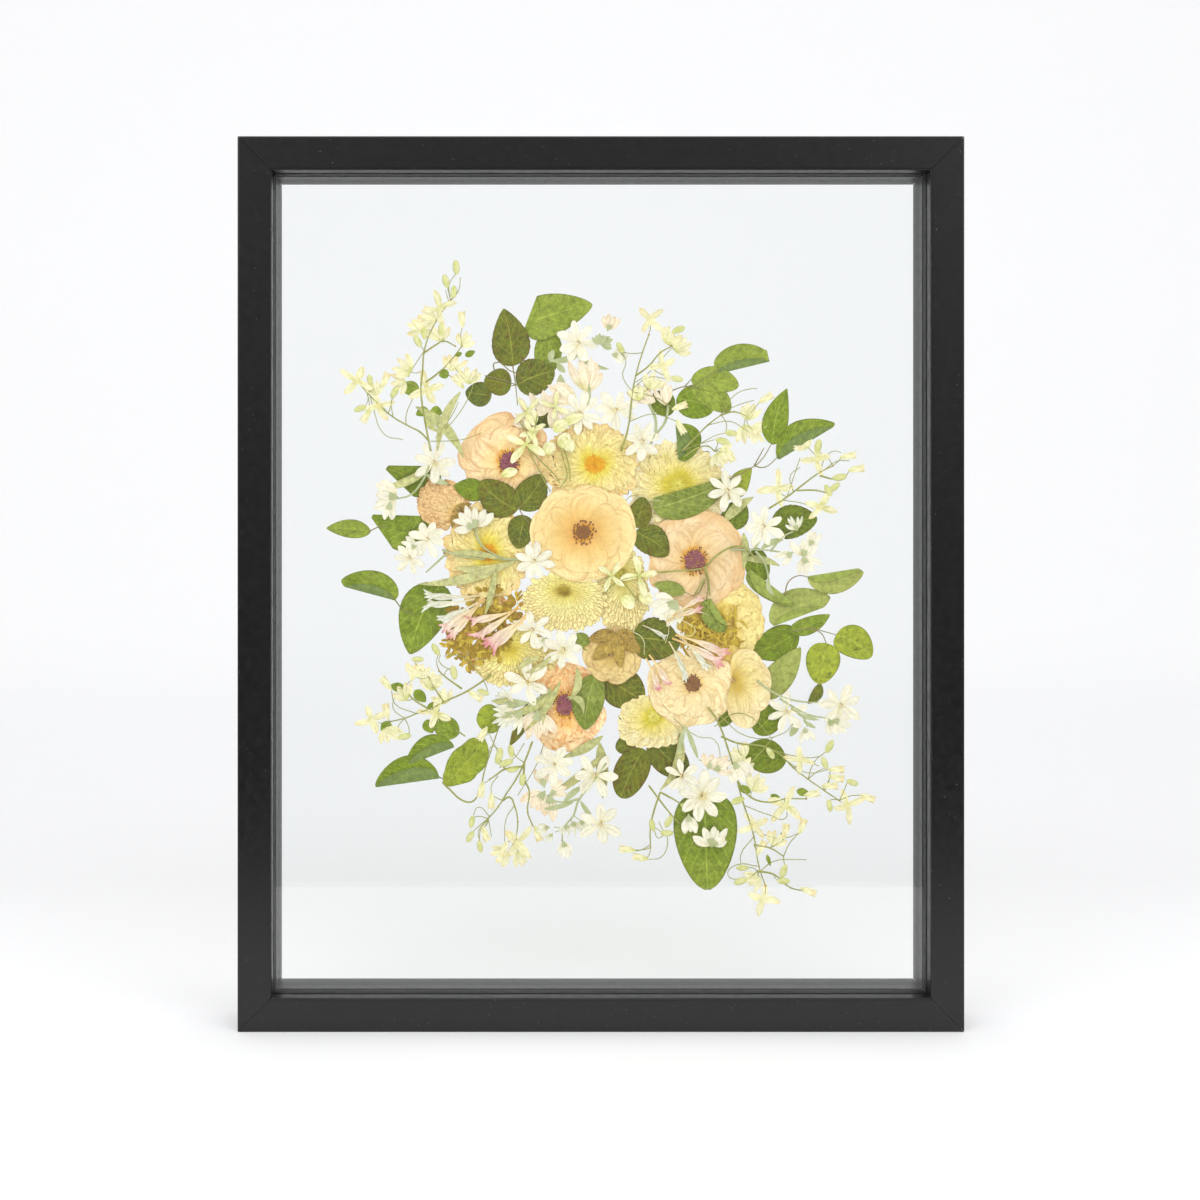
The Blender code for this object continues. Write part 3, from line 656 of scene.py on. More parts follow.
def flower_heads():
    smooth_head("ranunculus_upper_left", 1, (-55.5, 343), (6, 34, 20), (4, 22, 55), PEACH,
                (5.2, 6.4), PURPLE)
    smooth_head("ranunculus_right", 2, (58, 283), (7, 36, 10), (4, 26, 40), PINK_PEACH,
                (6.2, 6.8), PURPLE)
    smooth_head("ranunculus_bottom", 1, (-21, 195), (7, 26, 12), (5, 18, 30), WRINKLED_PEACH,
                (5.2, 6.6), PURPLE, 0.6)
    smooth_head("ranunculus_lower_right", 2, (57, 208), (8, 27, 8), (6, 20, 30), CREAM,
                (4.2, 4.4), BROWN_EYE, 0.5, 20, False)
    ragged_head("mum_upper", 2, (-3, 342), [
        (26, 1.14, 8.4, 0.6), (24, 1.0, 7.8, 0.6), (22, 0.84, 6.8, 0.5), (20, 0.66, 5.4, 0.4),
        (22, 0.46, 3.2, 0.3)], YELLOW_MUM, GOLD_EYE, (6.4, 5.4))
    ragged_head("mum_left", 2, (-68, 288), [
        (24, 1.12, 9.2, 0.6), (22, 0.98, 8.4, 0.6), (20, 0.8, 7.2, 0.5), (18, 0.6, 5.6, 0.4),
        (20, 0.42, 3.2, 0.3)], YELLOW_MUM, GOLD_EYE, (5.4, 5.0))
    ragged_head("mum_bottom", 1, (33, 188), [
        (22, 1.12, 7.4, 0.6), (20, 0.92, 6.6, 0.6), (16, 0.68, 5.4, 0.5)],
        GREEN_MUM, LIME_EYE, (3.0, 3.0))
    ragged_head("mum_lower_left", 1, (-57, 230), [
        (44, 1.06, 3.6, 0.4, 0.55), (42, 0.95, 3.5, 0.4, 0.5), (40, 0.84, 3.3, 0.4, 0.45),
        (36, 0.72, 3.0, 0.3, 0.4), (32, 0.6, 2.7, 0.3, 0.3), (26, 0.47, 2.5, 0.25, 0.2),
        (22, 0.34, 2.3, 0.25)], GOLD_MUM, OLIVE_EYE, (3.8, 3.0))
    ragged_head("mum_middle", 3, (-21, 264), [
        (50, 1.05, 2.9, 0.3, 0.6), (48, 0.95, 2.8, 0.3, 0.55), (46, 0.85, 2.7, 0.3, 0.5),
        (42, 0.75, 2.5, 0.3, 0.45), (38, 0.65, 2.3, 0.25, 0.4), (34, 0.54, 2.1, 0.25, 0.3),
        (28, 0.43, 1.9, 0.2, 0.2), (22, 0.31, 1.7, 0.2)], PALE_MUM, OLIVE_EYE, (2.4, 2.6))
    ragged_head("mum_small", 1, (13, 274), [
        (44, 1.2, 3.0, 0.3, 0.6), (42, 1.09, 2.9, 0.3, 0.55), (40, 0.98, 2.8, 0.3, 0.5), (38, 0.86, 2.6, 0.3, 0.45),
        (34, 0.74, 2.4, 0.3, 0.4), (30, 0.61, 2.2, 0.25, 0.3), (26, 0.47, 2.0, 0.25)],
        PALE_MUM, LIME_EYE, (2.6, 2.8))
    ragged_head("mum_upper_right", 0, (48, 329), [
        (28, 1.2, 7.5, 0.6), (26, 1.04, 7.0, 0.6), (26, 0.88, 6.0, 0.6), (36, 0.66, 3.2, 0.6), (34, 0.52, 2.8, 0.6),
        (30, 0.38, 2.4, 0.5)], GREEN_MUM, LIME_EYE, (5.0, 4.4))


def middle_head():
    """The butter-yellow head: three storeys of wide overlapping petals round brown stamens."""
    node = "ranunculus_middle"
    centre, radii = around(node)
    eye = (-10, 300.5)
    low = lift_of(4)
    bm = new_sheet()
    papery = dict(belly=0.64, blunt=0.4, ruffle=0.1, ripple=11.0, roll=0.02, ragged=0.03, rows=14, cols=12)
    for count, outer, wide, start, up in ((8, 1.02, 30, 15, 0.0), (6, 0.94, 32, 40, 0.15)):
        ring(bm, centre, radii, eye, count, -0.04, outer, wide, low + up, start, 0.03, narrow=0.1, **papery)
    for tip, wide, up in (((-20, 322), 29, 0.28), ((-34, 299), 33, 0.34), ((5, 281), 28, 0.36), ((-1, 322), 28, 0.38),
                          ((-26, 283), 29, 0.42), ((12.5, 302), 34, 0.46), ((-9, 276), 29, 0.54)):
        blade(bm, eye, tip, wide, low + up, eye=eye, radii=radii, narrow=0.16, **papery)
    threads(bm, eye, (2, 2), (7.0, 6.6), 34, 0.3, low + 0.8, 1)
    ends = threads(bm, eye, (1, 1), (7.6, 7.4), 30, 0.25, low + 0.84, 1)
    thicken(bm)
    mound(bm, eye, (4.6, 4.6), 60, 1.2, low + 0.9, 2, 0.3)
    beads(bm, ends, 1.45, low + 0.95, 2)
    done(node + "_petals", bm, [BUTTER, GOLD_EYE, BROWN_EYE], node)


def closed_head():
    """A ranunculus seen from behind: crumpled petals under pointed olive sepals."""
    node = "ranunculus_closed"
    centre, radii = around(node)
    low = lift_of(3)
    bm = new_sheet()
    eye = (7, 226)
    ring(bm, centre, radii, eye, 7, 0.02, 1.0, 20, low, 0, 0.05, belly=0.62, blunt=0.4, ruffle=0.7,
         ripple=5.0, roll=0.14, ragged=0.08, rows=12, cols=10, narrow=0.2)
    ring(bm, centre, radii, eye, 5, 0.02, 0.78, 15, low + 0.25, 30, 0.05, belly=0.62, blunt=0.4,
         ruffle=0.7, ripple=4.0, roll=0.14, ragged=0.08, rows=10, cols=8, narrow=0.2)
    top = (10, 238.5)
    for tip, wide in (((-7, 235), 8.5), ((22, 236), 8), ((-4, 223), 10), ((25, 227), 9.5), ((13, 218), 8)):
        blade(bm, top, tip, wide, low + 1.15, 0.42, 0.65, chance.uniform(-0.08, 0.08), ruffle=0.9, ripple=2.4,
              rows=10, cols=6, slot=1)
    thicken(bm)
    done(node + "_petals", bm, [CLOSED_BLOOM, SEPAL], node)


def half_head():
    """Half a pale bloom: a fan of wide petals from its foot."""
    node = "half_bloom_right"
    low = lift_of(3)
    bm = new_sheet()
    root = (82, 210)
    for tip, wide, up in (((96, 227), 21, 0.0), ((105, 208), 26, 0.12), ((92, 181), 20, 0.24),
                          ((102, 194), 22, 0.36), ((99, 218), 19, 0.46), ((87, 187), 13, 0.5)):
        blade(bm, root, tip, wide, low + up, 0.6, 0.52, ruffle=0.7, ripple=5.0, ragged=0.07, rows=14,
              cols=10, narrow=0.2, eye=root, radii=(24, 26))
    thicken(bm)
    done(node + "_petals", bm, [HALF_BLOOM], node)


def crinkled_heads():
    """The crinkled yellow bloom with its strings, and the crumpled peach one."""
    node = "crinkled_bloom_right"
    centre, radii = around(node)
    eye = (66, 240)
    low = lift_of(1)
    bm = new_sheet()
    for count, outer, wide, start, up in ((11, 1.0, 20, 0, 0.0), (10, 0.88, 16, 15, 0.15), (9, 0.7, 13, 5, 0.3)):
        ring(bm, centre, radii, eye, count, -0.02, outer, wide, low + up, start, 0.05, belly=0.66,
             blunt=0.42, ruffle=0.8, ripple=3.2, roll=0.12, ragged=0.1, rows=14, cols=10, narrow=0.2)
    for k in range(150):
        at = (eye[0] + chance.uniform(-17, 19), eye[1] + chance.uniform(-10, 8))
        turn = chance.uniform(0, 2 * math.pi)
        size = chance.uniform(4, 11)
        tip = away(*at, turn, size)
        blade(bm, at, tip, chance.uniform(0.8, 1.9), low + chance.uniform(0.9, 1.4), 0.5, 0.4,
              chance.uniform(-0.3, 0.3), rows=6, cols=1, narrow=0.4, square=0.3, slot=1 + (k % 3 == 0))
    thicken(bm)
    done(node + "_petals", bm, [CRINKLED, STRING, OLD_GOLD], node)

    node = "crumpled_bloom_left"
    centre, radii = around(node)
    low = lift_of(1)
    bm = new_sheet()
    eye = (-88, 312)
    for count, outer, wide, start, up in ((15, 1.06, 9, 0, 0.0), (13, 0.92, 8.5, 5, 0.12), (11, 0.76, 7.5, 0, 0.24),
                                          (9, 0.58, 6.5, 5, 0.36), (7, 0.42, 5, 0, 0.46)):
        ring(bm, centre, radii, eye, count, -0.05, outer, wide, low + up, start, 0.1, belly=0.7,
             blunt=0.45, ruffle=1.0, ripple=2.8, roll=0.1, ragged=0.2, rows=12, cols=8, narrow=0.2)
    for tip, wide in (((-78, 318), 5), ((-80, 305), 4), ((-90, 303), 4)):
        blade(bm, (-89, 314), tip, wide, low + 0.66, 0.4, 0.7, ruffle=0.3, rows=7, cols=4, slot=1)
    thicken(bm)
    done(node + "_petals", bm, [CRUMPLED, SEPAL], node)


# ---- Leaves ------------------------------------------------------------------------------------
OVATE = dict(belly=0.42, blunt=0.72, ruffle=0.25, ripple=12.0, rows=16, cols=8)
ROUND = dict(belly=0.46, blunt=0.52, ruffle=0.25, ripple=12.0, rows=16, cols=8)
ROSE = dict(belly=0.42, blunt=0.58, ruffle=0.25, ripple=10.0, rows=24, cols=8, teeth=12)
OVAL = dict(OVATE, blunt=0.6)
EGG = dict(ROUND, belly=0.4)
BROAD = dict(belly=0.34, blunt=0.5, ruffle=0.25, ripple=14.0, rows=28, cols=10, square=0.1, narrow=0.5)
LONG = dict(belly=0.45, blunt=0.8, ruffle=0.2, ripple=9.0, rows=14, cols=4, narrow=0.12)

# A leaf's finish, and a slot name, which nothing reads.
DARK = DARK_LEAF, "leaf_dark"
DEEP_DARK = DEEP_LEAF, "leaf_dark"
GREEN = GREEN_LEAF, "leaf_green"
DEEP = DEEP_LEAF, "leaf_green"
GREY = GREY_LEAF, "leaf_grey_green"
GREY_AS_GREEN = GREY_LEAF, "leaf_green"
MOTTLED = MOTTLED_LEAF, "leaf_green"


def leaf_piece(name, node, layer, look, leaves, routes=(), stem=BROWN_STEM, thick=0.9):
    """Leaves that grew on one stalk. Each leaf: base, tip, width, shape, tone, bend, more lift, creases;
    from the bend on, what is left out is nothing."""
    bm = new_sheet()
    low = lift_of(layer)
    for base, tip, wide, shape, tone, *rest in leaves:
        bend, more, *creases = rest + [0.0, 0.0][len(rest):]
        if creases:
            folded(bm, base, tip, wide, low + more, creases, bend=bend, tone=tone, **shape)
        else:
            blade(bm, base, tip, wide, low + more, bend=bend, tone=tone, **shape)
    thicken(bm, LEAF_THICK)
    if routes:
        stalks(bm, routes, thick, low + 0.2, 1)
    finish, slot = look
    done(name, bm, [finish, stem], node)


LEAF_PIECES = [
    ("rose_leaf_top_leaflets", "rose_leaf_top", 3, DARK, [
        ((-53, 402), (-58.5, 437), 24, dict(ROSE, belly=0.36, blunt=0.74), 0.35, -0.03, 0.1),
        ((-50.5, 390.5), (-27.5, 399), 23, ROSE, 0.5, 0.05, 0.2),
        ((-54, 390), (-70.5, 393.5), 17, ROSE, 0.2, -0.05),
    ], [[(-53, 402), (-51.5, 392), (-50, 378)], [(-70, 396), (-60, 393.5), (-50.5, 390.5)],
        [(-50.5, 390.5), (-54, 390)], [(-64, 398), (-64, 404), (-52, 398), (-45, 400)]]),
    ("rose_leaflet_top_left", None, 2, DARK, [
        ((-66, 384), (-82, 386), 15.5, ROSE, 0.9)]),
    ("dark_leaf_behind_stars", None, 0, DARK, [
        ((-25, 373), (-43, 369), 14, ROUND, 0.6)]),
    ("big_folded_leaf_top", "folded_leaf_top", 2, GREEN, [
        ((-47, 427), (-4.5, 439.6), 27, dict(OVATE, blunt=0.62, belly=0.3), 0.8, 0.03, 0.3,
         (-45, 427.5, -37.5, 447, 1))], [[(-48, 424), (-51, 422)]]),
    ("leaf_under_top", None, 1, GREEN, [
        ((-30, 424), (-33, 396), 17, ROUND, 0.5)]),
    ("rose_leaf_left_leaflets", "rose_leaf_left", 3, DARK, [
        ((-50, 314), (-73, 331.5), 22, ROSE, 0.3, 0.06, 0.1),
        ((-49.5, 315), (-35, 335.5), 20, ROSE, 0.5, -0.06, 0.2),
        ((-46, 311), (-50, 290.5), 17, ROSE, 0.6),
    ], [[(-49.5, 316), (-47, 311), (-42, 305)]]),
    ("rose_leaf_right_leaflets", "rose_leaf_right", 3, DARK, [
        ((21, 303.5), (27, 322), 15, ROSE, 0.2, -0.05, 0.1),
        ((21.5, 300.5), (42, 286.5), 19, ROSE, 0.5, 0.08),
    ], [[(21, 304), (21.5, 300), (14, 296)]]),
    ("long_folded_leaf", "long_leaf_right", 2, GREY, [
        ((33, 315), (77, 331), 23, dict(OVATE, blunt=0.5), 0.1, -0.03, 0.4, (36, 322.5, 73, 333, 1))],
        [[(37, 320), (28, 320), (20, 323), (14, 317)]], GREY_STEM),
    ("shoot_upper_right_leaves", "shoot_upper_right", 3, GREEN, [
        ((70, 400), (103, 408), 20, dict(ROUND, blunt=0.42, square=0.4), 0.9, 0.05, 0.0, (-3.2, -3.2)),
        ((56, 394), (85, 390), 16, ROUND, 1.0, 0.06, 0.35),
        ((57, 390), (80, 375), 16, ROUND, 0.8, 0.05, 0.15),
        ((47, 382), (70, 376), 21, ROUND, 0.0, 0.05),
    ], [[(44, 387), (52, 389.5), (58, 389), (66, 391)], [(52, 389.5), (56, 394)], [(58, 390), (71, 400)]]),
    ("leaf_under_blossom", None, 2, DEEP, [
        ((33, 375), (45, 384), 17, ROUND, 0.3)]),
    ("leaf_tip_down", None, 2, GREEN, [
        ((50, 367), (52, 344), 23, OVAL, 0.0, 0.0, 0.0, (-3.5, -3.5))]),
    ("forked_shoot_leaves", "forked_shoot", 6, GREEN, [
        ((105, 354), (114, 388), 16, dict(OVATE, belly=0.36, blunt=0.8), 0.0, 0.05, -0.3),
        ((108, 346), (143, 367), 22, OVATE, 0.1, 0.06, -0.2, (-1.6, -1.6)),
    ], [[(79, 333), (90, 338.5), (97, 343), (105, 355)], [(94, 341), (100, 340), (109, 347)],
        [(94, 341), (100, 352)]]),
    ("olive_leaf_small", None, 1, MOTTLED, [
        ((85, 322), (93, 340), 12, OVATE, 0.4, 0.15)]),
    ("dark_leaf_upper_right_blade", "dark_leaf_upper_right", 2, DEEP_DARK, [
        ((105, 303), (133, 309), 21, ROSE, 0.9, 0.05)]),
    ("dark_leaf_by_lance", None, 1, DEEP_DARK, [
        ((79, 303), (88, 320), 17, ROSE, 0.9)]),
    ("shoot_right_leaves", "shoot_right", 4, GREY, [
        ((90, 276), (118, 256), 17, OVAL, 0.0, 0.05, 0.0, (2.5, 1.5)),
        ((127, 272), (161, 276), 18, OVAL, 1.0, -0.06, 0.0, (1.5, 3.0)),
    ], [[(113, 262), (115, 270), (121, 274), (128, 273)]]),
    ("round_dark_leaf_right", None, 2, DEEP_DARK, [
        ((99, 270), (96, 291), 15, ROUND, 0.5, 0.05)]),
    ("wide_leaf_blade", "wide_leaf_right", 2, GREY_AS_GREEN, [
        ((104, 246), (141, 261), 22, dict(OVATE, blunt=0.65), 1.0, 0.06, 0.0, (-3.5, -4.5))]),
    ("leaf_tip_right", None, 1, GREEN, [
        ((116, 240), (141, 250), 11, OVATE, 0.3, -0.05)]),
    ("dark_leaf_right_blade", "dark_leaf_right", 0, DEEP_DARK, [
        ((122, 240), (92, 226), 21, OVATE, 0.3, 0.05)], [[(122, 240), (131, 241)]]),
    ("shoot_far_right_leaves", "shoot_far_right", 5, MOTTLED, [
        ((144, 238), (166, 225), 20, EGG, 0.2, 0.08),
        ((138, 233), (133.5, 208), 21, EGG, 0.0),
    ], [[(118, 240), (128, 242), (137, 240), (144, 238)], [(128, 242), (135, 239), (138, 233)]]),
    ("leaf_end_right", None, 4, DARK, [
        ((135, 208), (127, 196), 7, OVATE, 0.4, 0.1)]),
    ("leaf_behind_half_bloom", None, 1, GREY_AS_GREEN, [
        ((97, 198), (123, 230), 18, OVATE, 1.0, -0.03)]),
    ("round_leaf_blade", "round_leaf_middle", 4, DARK, [
        ((20, 236), (49, 232), 27, ROSE, 0.4, 0.04)]),
    ("grey_leaf_blade", "grey_leaf_middle", 2, GREY, [
        ((-2, 214), (-9, 180), 20, dict(ROUND, blunt=0.6), 0.1, -0.05, 0.3)]),
    ("round_dark_leaf_low", None, 0, DARK, [
        ((3, 212), (27, 197), 25, ROUND, 0.2)]),
    ("large_leaf_blade", "large_leaf_bottom", 2, GREEN, [
        ((64, 141), (66, 82), 39, BROAD, 0.35)]),
    ("dark_leaf_bottom", None, 1, DARK, [
        ((27, 168), (13, 138), 21, dict(ROUND, blunt=0.45), 0.3, -0.03)]),
    ("dark_leaves_bottom_right", None, 0, DARK, [
        ((31, 173), (54, 151), 21, ROUND, 0.5),
        ((22, 172), (10, 168), 12, ROUND, 0.5, 0.0, 0.2)]),
    ("folded_leaf_left_blade", "folded_leaf_left", 0, DEEP, [
        ((-97, 331), (-130.6, 339.2), 25, OVAL, 0.2, 0.0, 0.1,
         (-132, 341.5, -100, 341, 1), (-131, 339, -110, 318.5, 1))]),
    ("leaves_far_left_blades", "leaves_far_left", 0, GREEN, [
        ((-140, 301), (-167, 303), 11.5, OVATE, 0.7, -0.03),
        ((-104, 301), (-139.4, 309.6), 32, OVAL, 0.2, 0.0, 0.1,
         (-141, 311.5, -108, 310.5, 1), (-140, 310, -122, 284, 1)),
    ], [[(-141, 301), (-134, 304), (-129, 304)]]),
    ("leaves_lower_far_left_blades", "leaves_lower_far_left", 0, GREEN, [
        ((-97, 269), (-116, 226), 30, dict(OVATE, blunt=0.66, belly=0.38), 0.25, -0.06),
        ((-123, 262), (-158, 271), 20, dict(OVATE, blunt=0.62), 0.3, -0.03, 0.0, (3.6, 3.2)),
    ], [[(-125, 259), (-120, 253), (-114, 250)], [(-97, 269), (-96, 272)]]),
    ("shoot_lower_left_leaves", "shoot_lower_left", 3, MOTTLED, [
        ((-95, 146), (-70, 174), 21, dict(OVATE, belly=0.55, blunt=0.55, ragged=0.14), 0.7, -0.03, 0.1),
        ((-60, 188), (-75, 185), 18, ROUND, 0.6),
    ], [[(-96, 148), (-91, 143), (-84, 137), (-78, 136), (-74, 141), (-70, 156), (-66, 168), (-60, 186)],
        [(-88, 180), (-82, 176)]], STEM, 1.3),
    ("folded_leaves_lower_left", None, 2, GREEN, [
        ((-89, 170), (-118, 159), 19, OVAL, 0.0, -0.08, 0.1, (0.8, 1.0)),
        ((-98, 151), (-137, 146), 25, OVAL, 0.0, -0.08, 0.35, (0.8, 1.2)),
        ((-86, 177), (-103, 186), 14, OVATE, 0.2)],
        [[(-98, 151), (-94, 149)]]),
    ("dark_lance_lower_left", None, 4, DARK, [
        ((-44, 196), (-55, 170), 8, LONG, 0.2, 0.05)]),
    ("bright_leaf_left", None, 2, DEEP, [
        ((-70, 323), (-89, 329), 14, OVATE, 0.0, -0.05)]),
    ("small_leaves_middle", None, 5, GREY_AS_GREEN, [
        ((52, 264), (33, 269), 9, OVATE, 0.3),
        ((64, 259), (76, 240), 15, ROUND, 0.0, 0.0, 0.1, (3.5, 3.5)),
        ((-16, 238), (-6, 228), 9, OVATE, 0.0, 0.1, -1.5)],
        [[(64, 278), (66, 268), (65, 259)], [(64, 270), (58, 262), (52, 264)]]),
    ("leaves_lower_right", None, 1, DEEP, [
        ((114, 160), (87, 166), 21, dict(ROUND, blunt=0.6), 0.3, -0.03, 0.1),
        ((95, 178), (112, 194), 17, ROUND, 0.3),
        ((73, 182), (84, 193), 8, OVATE, 0.6)]),
]


def leaves():
    for piece in LEAF_PIECES:
        leaf_piece(*piece)


def lances():
    """Narrow grey-green leaves and bracts, and the long curved tube leaves."""
    rows = (
        ("lances_upper_left", 5, [((-112, 377), (-83, 346), 7, 0.10), ((-85, 386), (-99, 350), 5.5, -0.08),
                                  ((-99, 362), (-106, 371), 4, 0.1)]),
        ("lances_left", 4, [((-88, 279), (-50, 284), 6, -0.10), ((-54, 282), (-110, 269), 6.5, 0.06),
                            ((-60, 284), (-92, 288), 4, -0.05), ((-103, 341), (-135, 327), 5.5, 0.08),
                            ((-63, 279), (-70, 250), 4.2, 0.02)]),
        ("lances_lower_middle", 5, [((-14, 218), (-19, 198), 5, 0.16), ((-20, 200), (-10, 190), 4.5, 0.3),
                                    ((-30, 206), (-36, 180), 5, -0.04), ((-27, 204), (-60, 188), 5.5, 0.08),
                                    ((-24, 210), (-45, 180), 4.4, 0.06), ((-50, 217), (-36, 224), 4, 0.1),
                                    ((-30, 225), (-45, 215), 3.5, 0.1), ((-56, 199), (-66, 198), 3.5, 0.1)]),
        ("lances_bottom", 2, [((2, 176), (-22, 163), 6, 0.05), ((0, 172), (2, 138), 8, 0.02),
                              ((49, 178), (37, 143), 6.5, 0.14), ((3, 166), (-34, 138), 5.5, 0.05)]),
        ("lances_right", 2, [((76, 307), (94, 322), 7, 0.06), ((88, 284), (110, 280), 5, 0.08),
                             ((88, 300), (88, 278), 5, 0.05)]),
    )
    for name, layer, shapes in rows:
        bm = new_sheet()
        for i, (base, tip, wide, bend) in enumerate(shapes):
            blade(bm, base, tip, wide * 0.95, lift_of(layer) + 0.13 * i, bend=bend, cup=0.25, **LONG)
        thicken(bm, LEAF_THICK)
        done(name, bm, [LANCE], None)


# ---- Small flowers -----------------------------------------------------------------------------
STAR_SIZE = 11.0
SPRAY_FINISHES = [CLEMATIS, STEM, BUD, STAMEN, SEED, GREEN_LEAF]


def star(bm, x, z, size, turn, lift):
    """An open clematis flower: narrow petals and a brush of stamens."""
    for k in range(4):
        angle = math.radians(turn + 360 * k / 4 + chance.uniform(-14, 14))
        long = size * chance.uniform(0.82, 1.15)
        tip = away(x, z, angle, long)
        base = away(x, z, angle, -0.8)
        blade(bm, base, tip, size * chance.uniform(0.32, 0.44), lift + 0.07 * k, 0.56, 0.55,
              chance.uniform(-0.07, 0.07), 0.12, ruffle=0.35, ripple=3.0, ragged=0.12, rows=8, cols=4,
              narrow=0.25, square=0.05)
    for k in range(13):
        angle = math.radians(turn + 360 * k / 13 + chance.uniform(-12, 12))
        long = size * chance.uniform(0.28, 0.5)
        blade(bm, (x, z), away(x, z, angle, long), 0.45, lift + 0.34, 0.5, 0.3, chance.uniform(-0.1, 0.1),
              slot=3, **HAIR)


def cup_flower(bm, x, z, size, turn, lift, count=4, fan=80, slot=0, wide=0.38):
    """A flower seen from the side: petals fan from the foot at (x, z)."""
    for k in range(count):
        share = k / (count - 1) - 0.5
        angle = math.radians(turn + fan * share + chance.uniform(-7, 7))
        long = size * chance.uniform(0.85, 1.12)
        tip = away(x, z, angle, long)
        up = lift + 0.09 * ((k * 2) % count)
        blade(bm, (x, z), tip, size * wide * chance.uniform(0.85, 1.15), up, 0.55, 0.62, 0.12 * share, 0.12,
              ruffle=0.35, ripple=3.0, ragged=0.10, rows=9, cols=4, narrow=0.2, square=0.05, slot=slot)


def open_bud(bm, x, z, angle, size, lift):
    """A bud split at its tip into two or three short lobes."""
    foot = away(x, z, angle, -size * 0.5)
    for k, turn in enumerate((-0.22, 0.2, 0.0)):
        tip = away(*foot, angle + turn, size * 1.08)
        blade(bm, foot, tip, size * 0.4, lift + 0.1 * k, 0.46, 0.8, -turn * 0.5, 0.1, rows=8, cols=4,
              narrow=0.25, square=0.03, tone=0.2 + 0.3 * k)


def twig_to(point, routes, sag=0.18):
    """A hair-thin stalk from the nearest joint of the stems, in a gentle curve."""
    joint = min((p for route in routes for p in route), key=lambda p: math.dist(p, point))
    dx, dz = point[0] - joint[0], point[1] - joint[1]
    bow = chance.uniform(-sag, sag)
    middle = (joint[0] + dx * 0.5 - dz * bow, joint[1] + dz * 0.5 + dx * bow)
    return [joint, middle, point]


def clematis_spray(name, node, layer, routes, stars, cups, buds, splits, leafage=(), hairs=()):
    """One spray. Routes are its stems. Stars, cups (by their foot), buds and splits (half-open buds) are
    x, z, direction. Leafage is base, tip, width. Hairs are thin stems that follow no flower."""
    bm = new_sheet()
    low = lift_of(layer)
    twigs = list(hairs)
    for i, (x, z, turn) in enumerate(stars):
        star(bm, x, z, STAR_SIZE * chance.uniform(0.88, 1.08), turn, low + 0.1 + 0.05 * (i % 3))
        twigs.append(twig_to((x, z), routes))
    for i, (x, z, turn) in enumerate(cups):
        cup_flower(bm, x, z, STAR_SIZE * chance.uniform(0.85, 1.0), turn, low + 0.05 * (i % 4))
        twigs.append(twig_to((x, z), routes))
    for x, z, turn in splits:
        angle = math.radians(turn)
        open_bud(bm, x, z, angle, 9.6, low + 0.1)
        twigs.append(twig_to(away(x, z, angle, -3.6), routes))
    for base, tip, wide in leafage:
        blade(bm, base, tip, wide, low, tone=0.2, slot=5, **dict(OVATE, rows=8, cols=4))
    thicken(bm, FINE_THICK)
    for x, z, turn in buds:
        angle = math.radians(turn)
        long = chance.uniform(7.6, 9.2)
        ball(bm, x, z, low + 0.3, (long, long * 0.48, 0.7), 2, angle, 8)
        twigs.append(twig_to(away(x, z, angle, -3), routes))
    twigs = [twig for twig in twigs if math.dist(twig[0], twig[-1]) > 1.0]
    stalks(bm, routes, 1.3, low, 1, 0.6)
    stalks(bm, twigs, 0.62, low + 0.05, 1, 0.8)
    for route in routes:
        for x, z in route[1:]:
            ball(bm, x, z, low, (1.6, 1.1, 0.8), 4, chance.uniform(0, 3))
    done(name, bm, SPRAY_FINISHES, node)


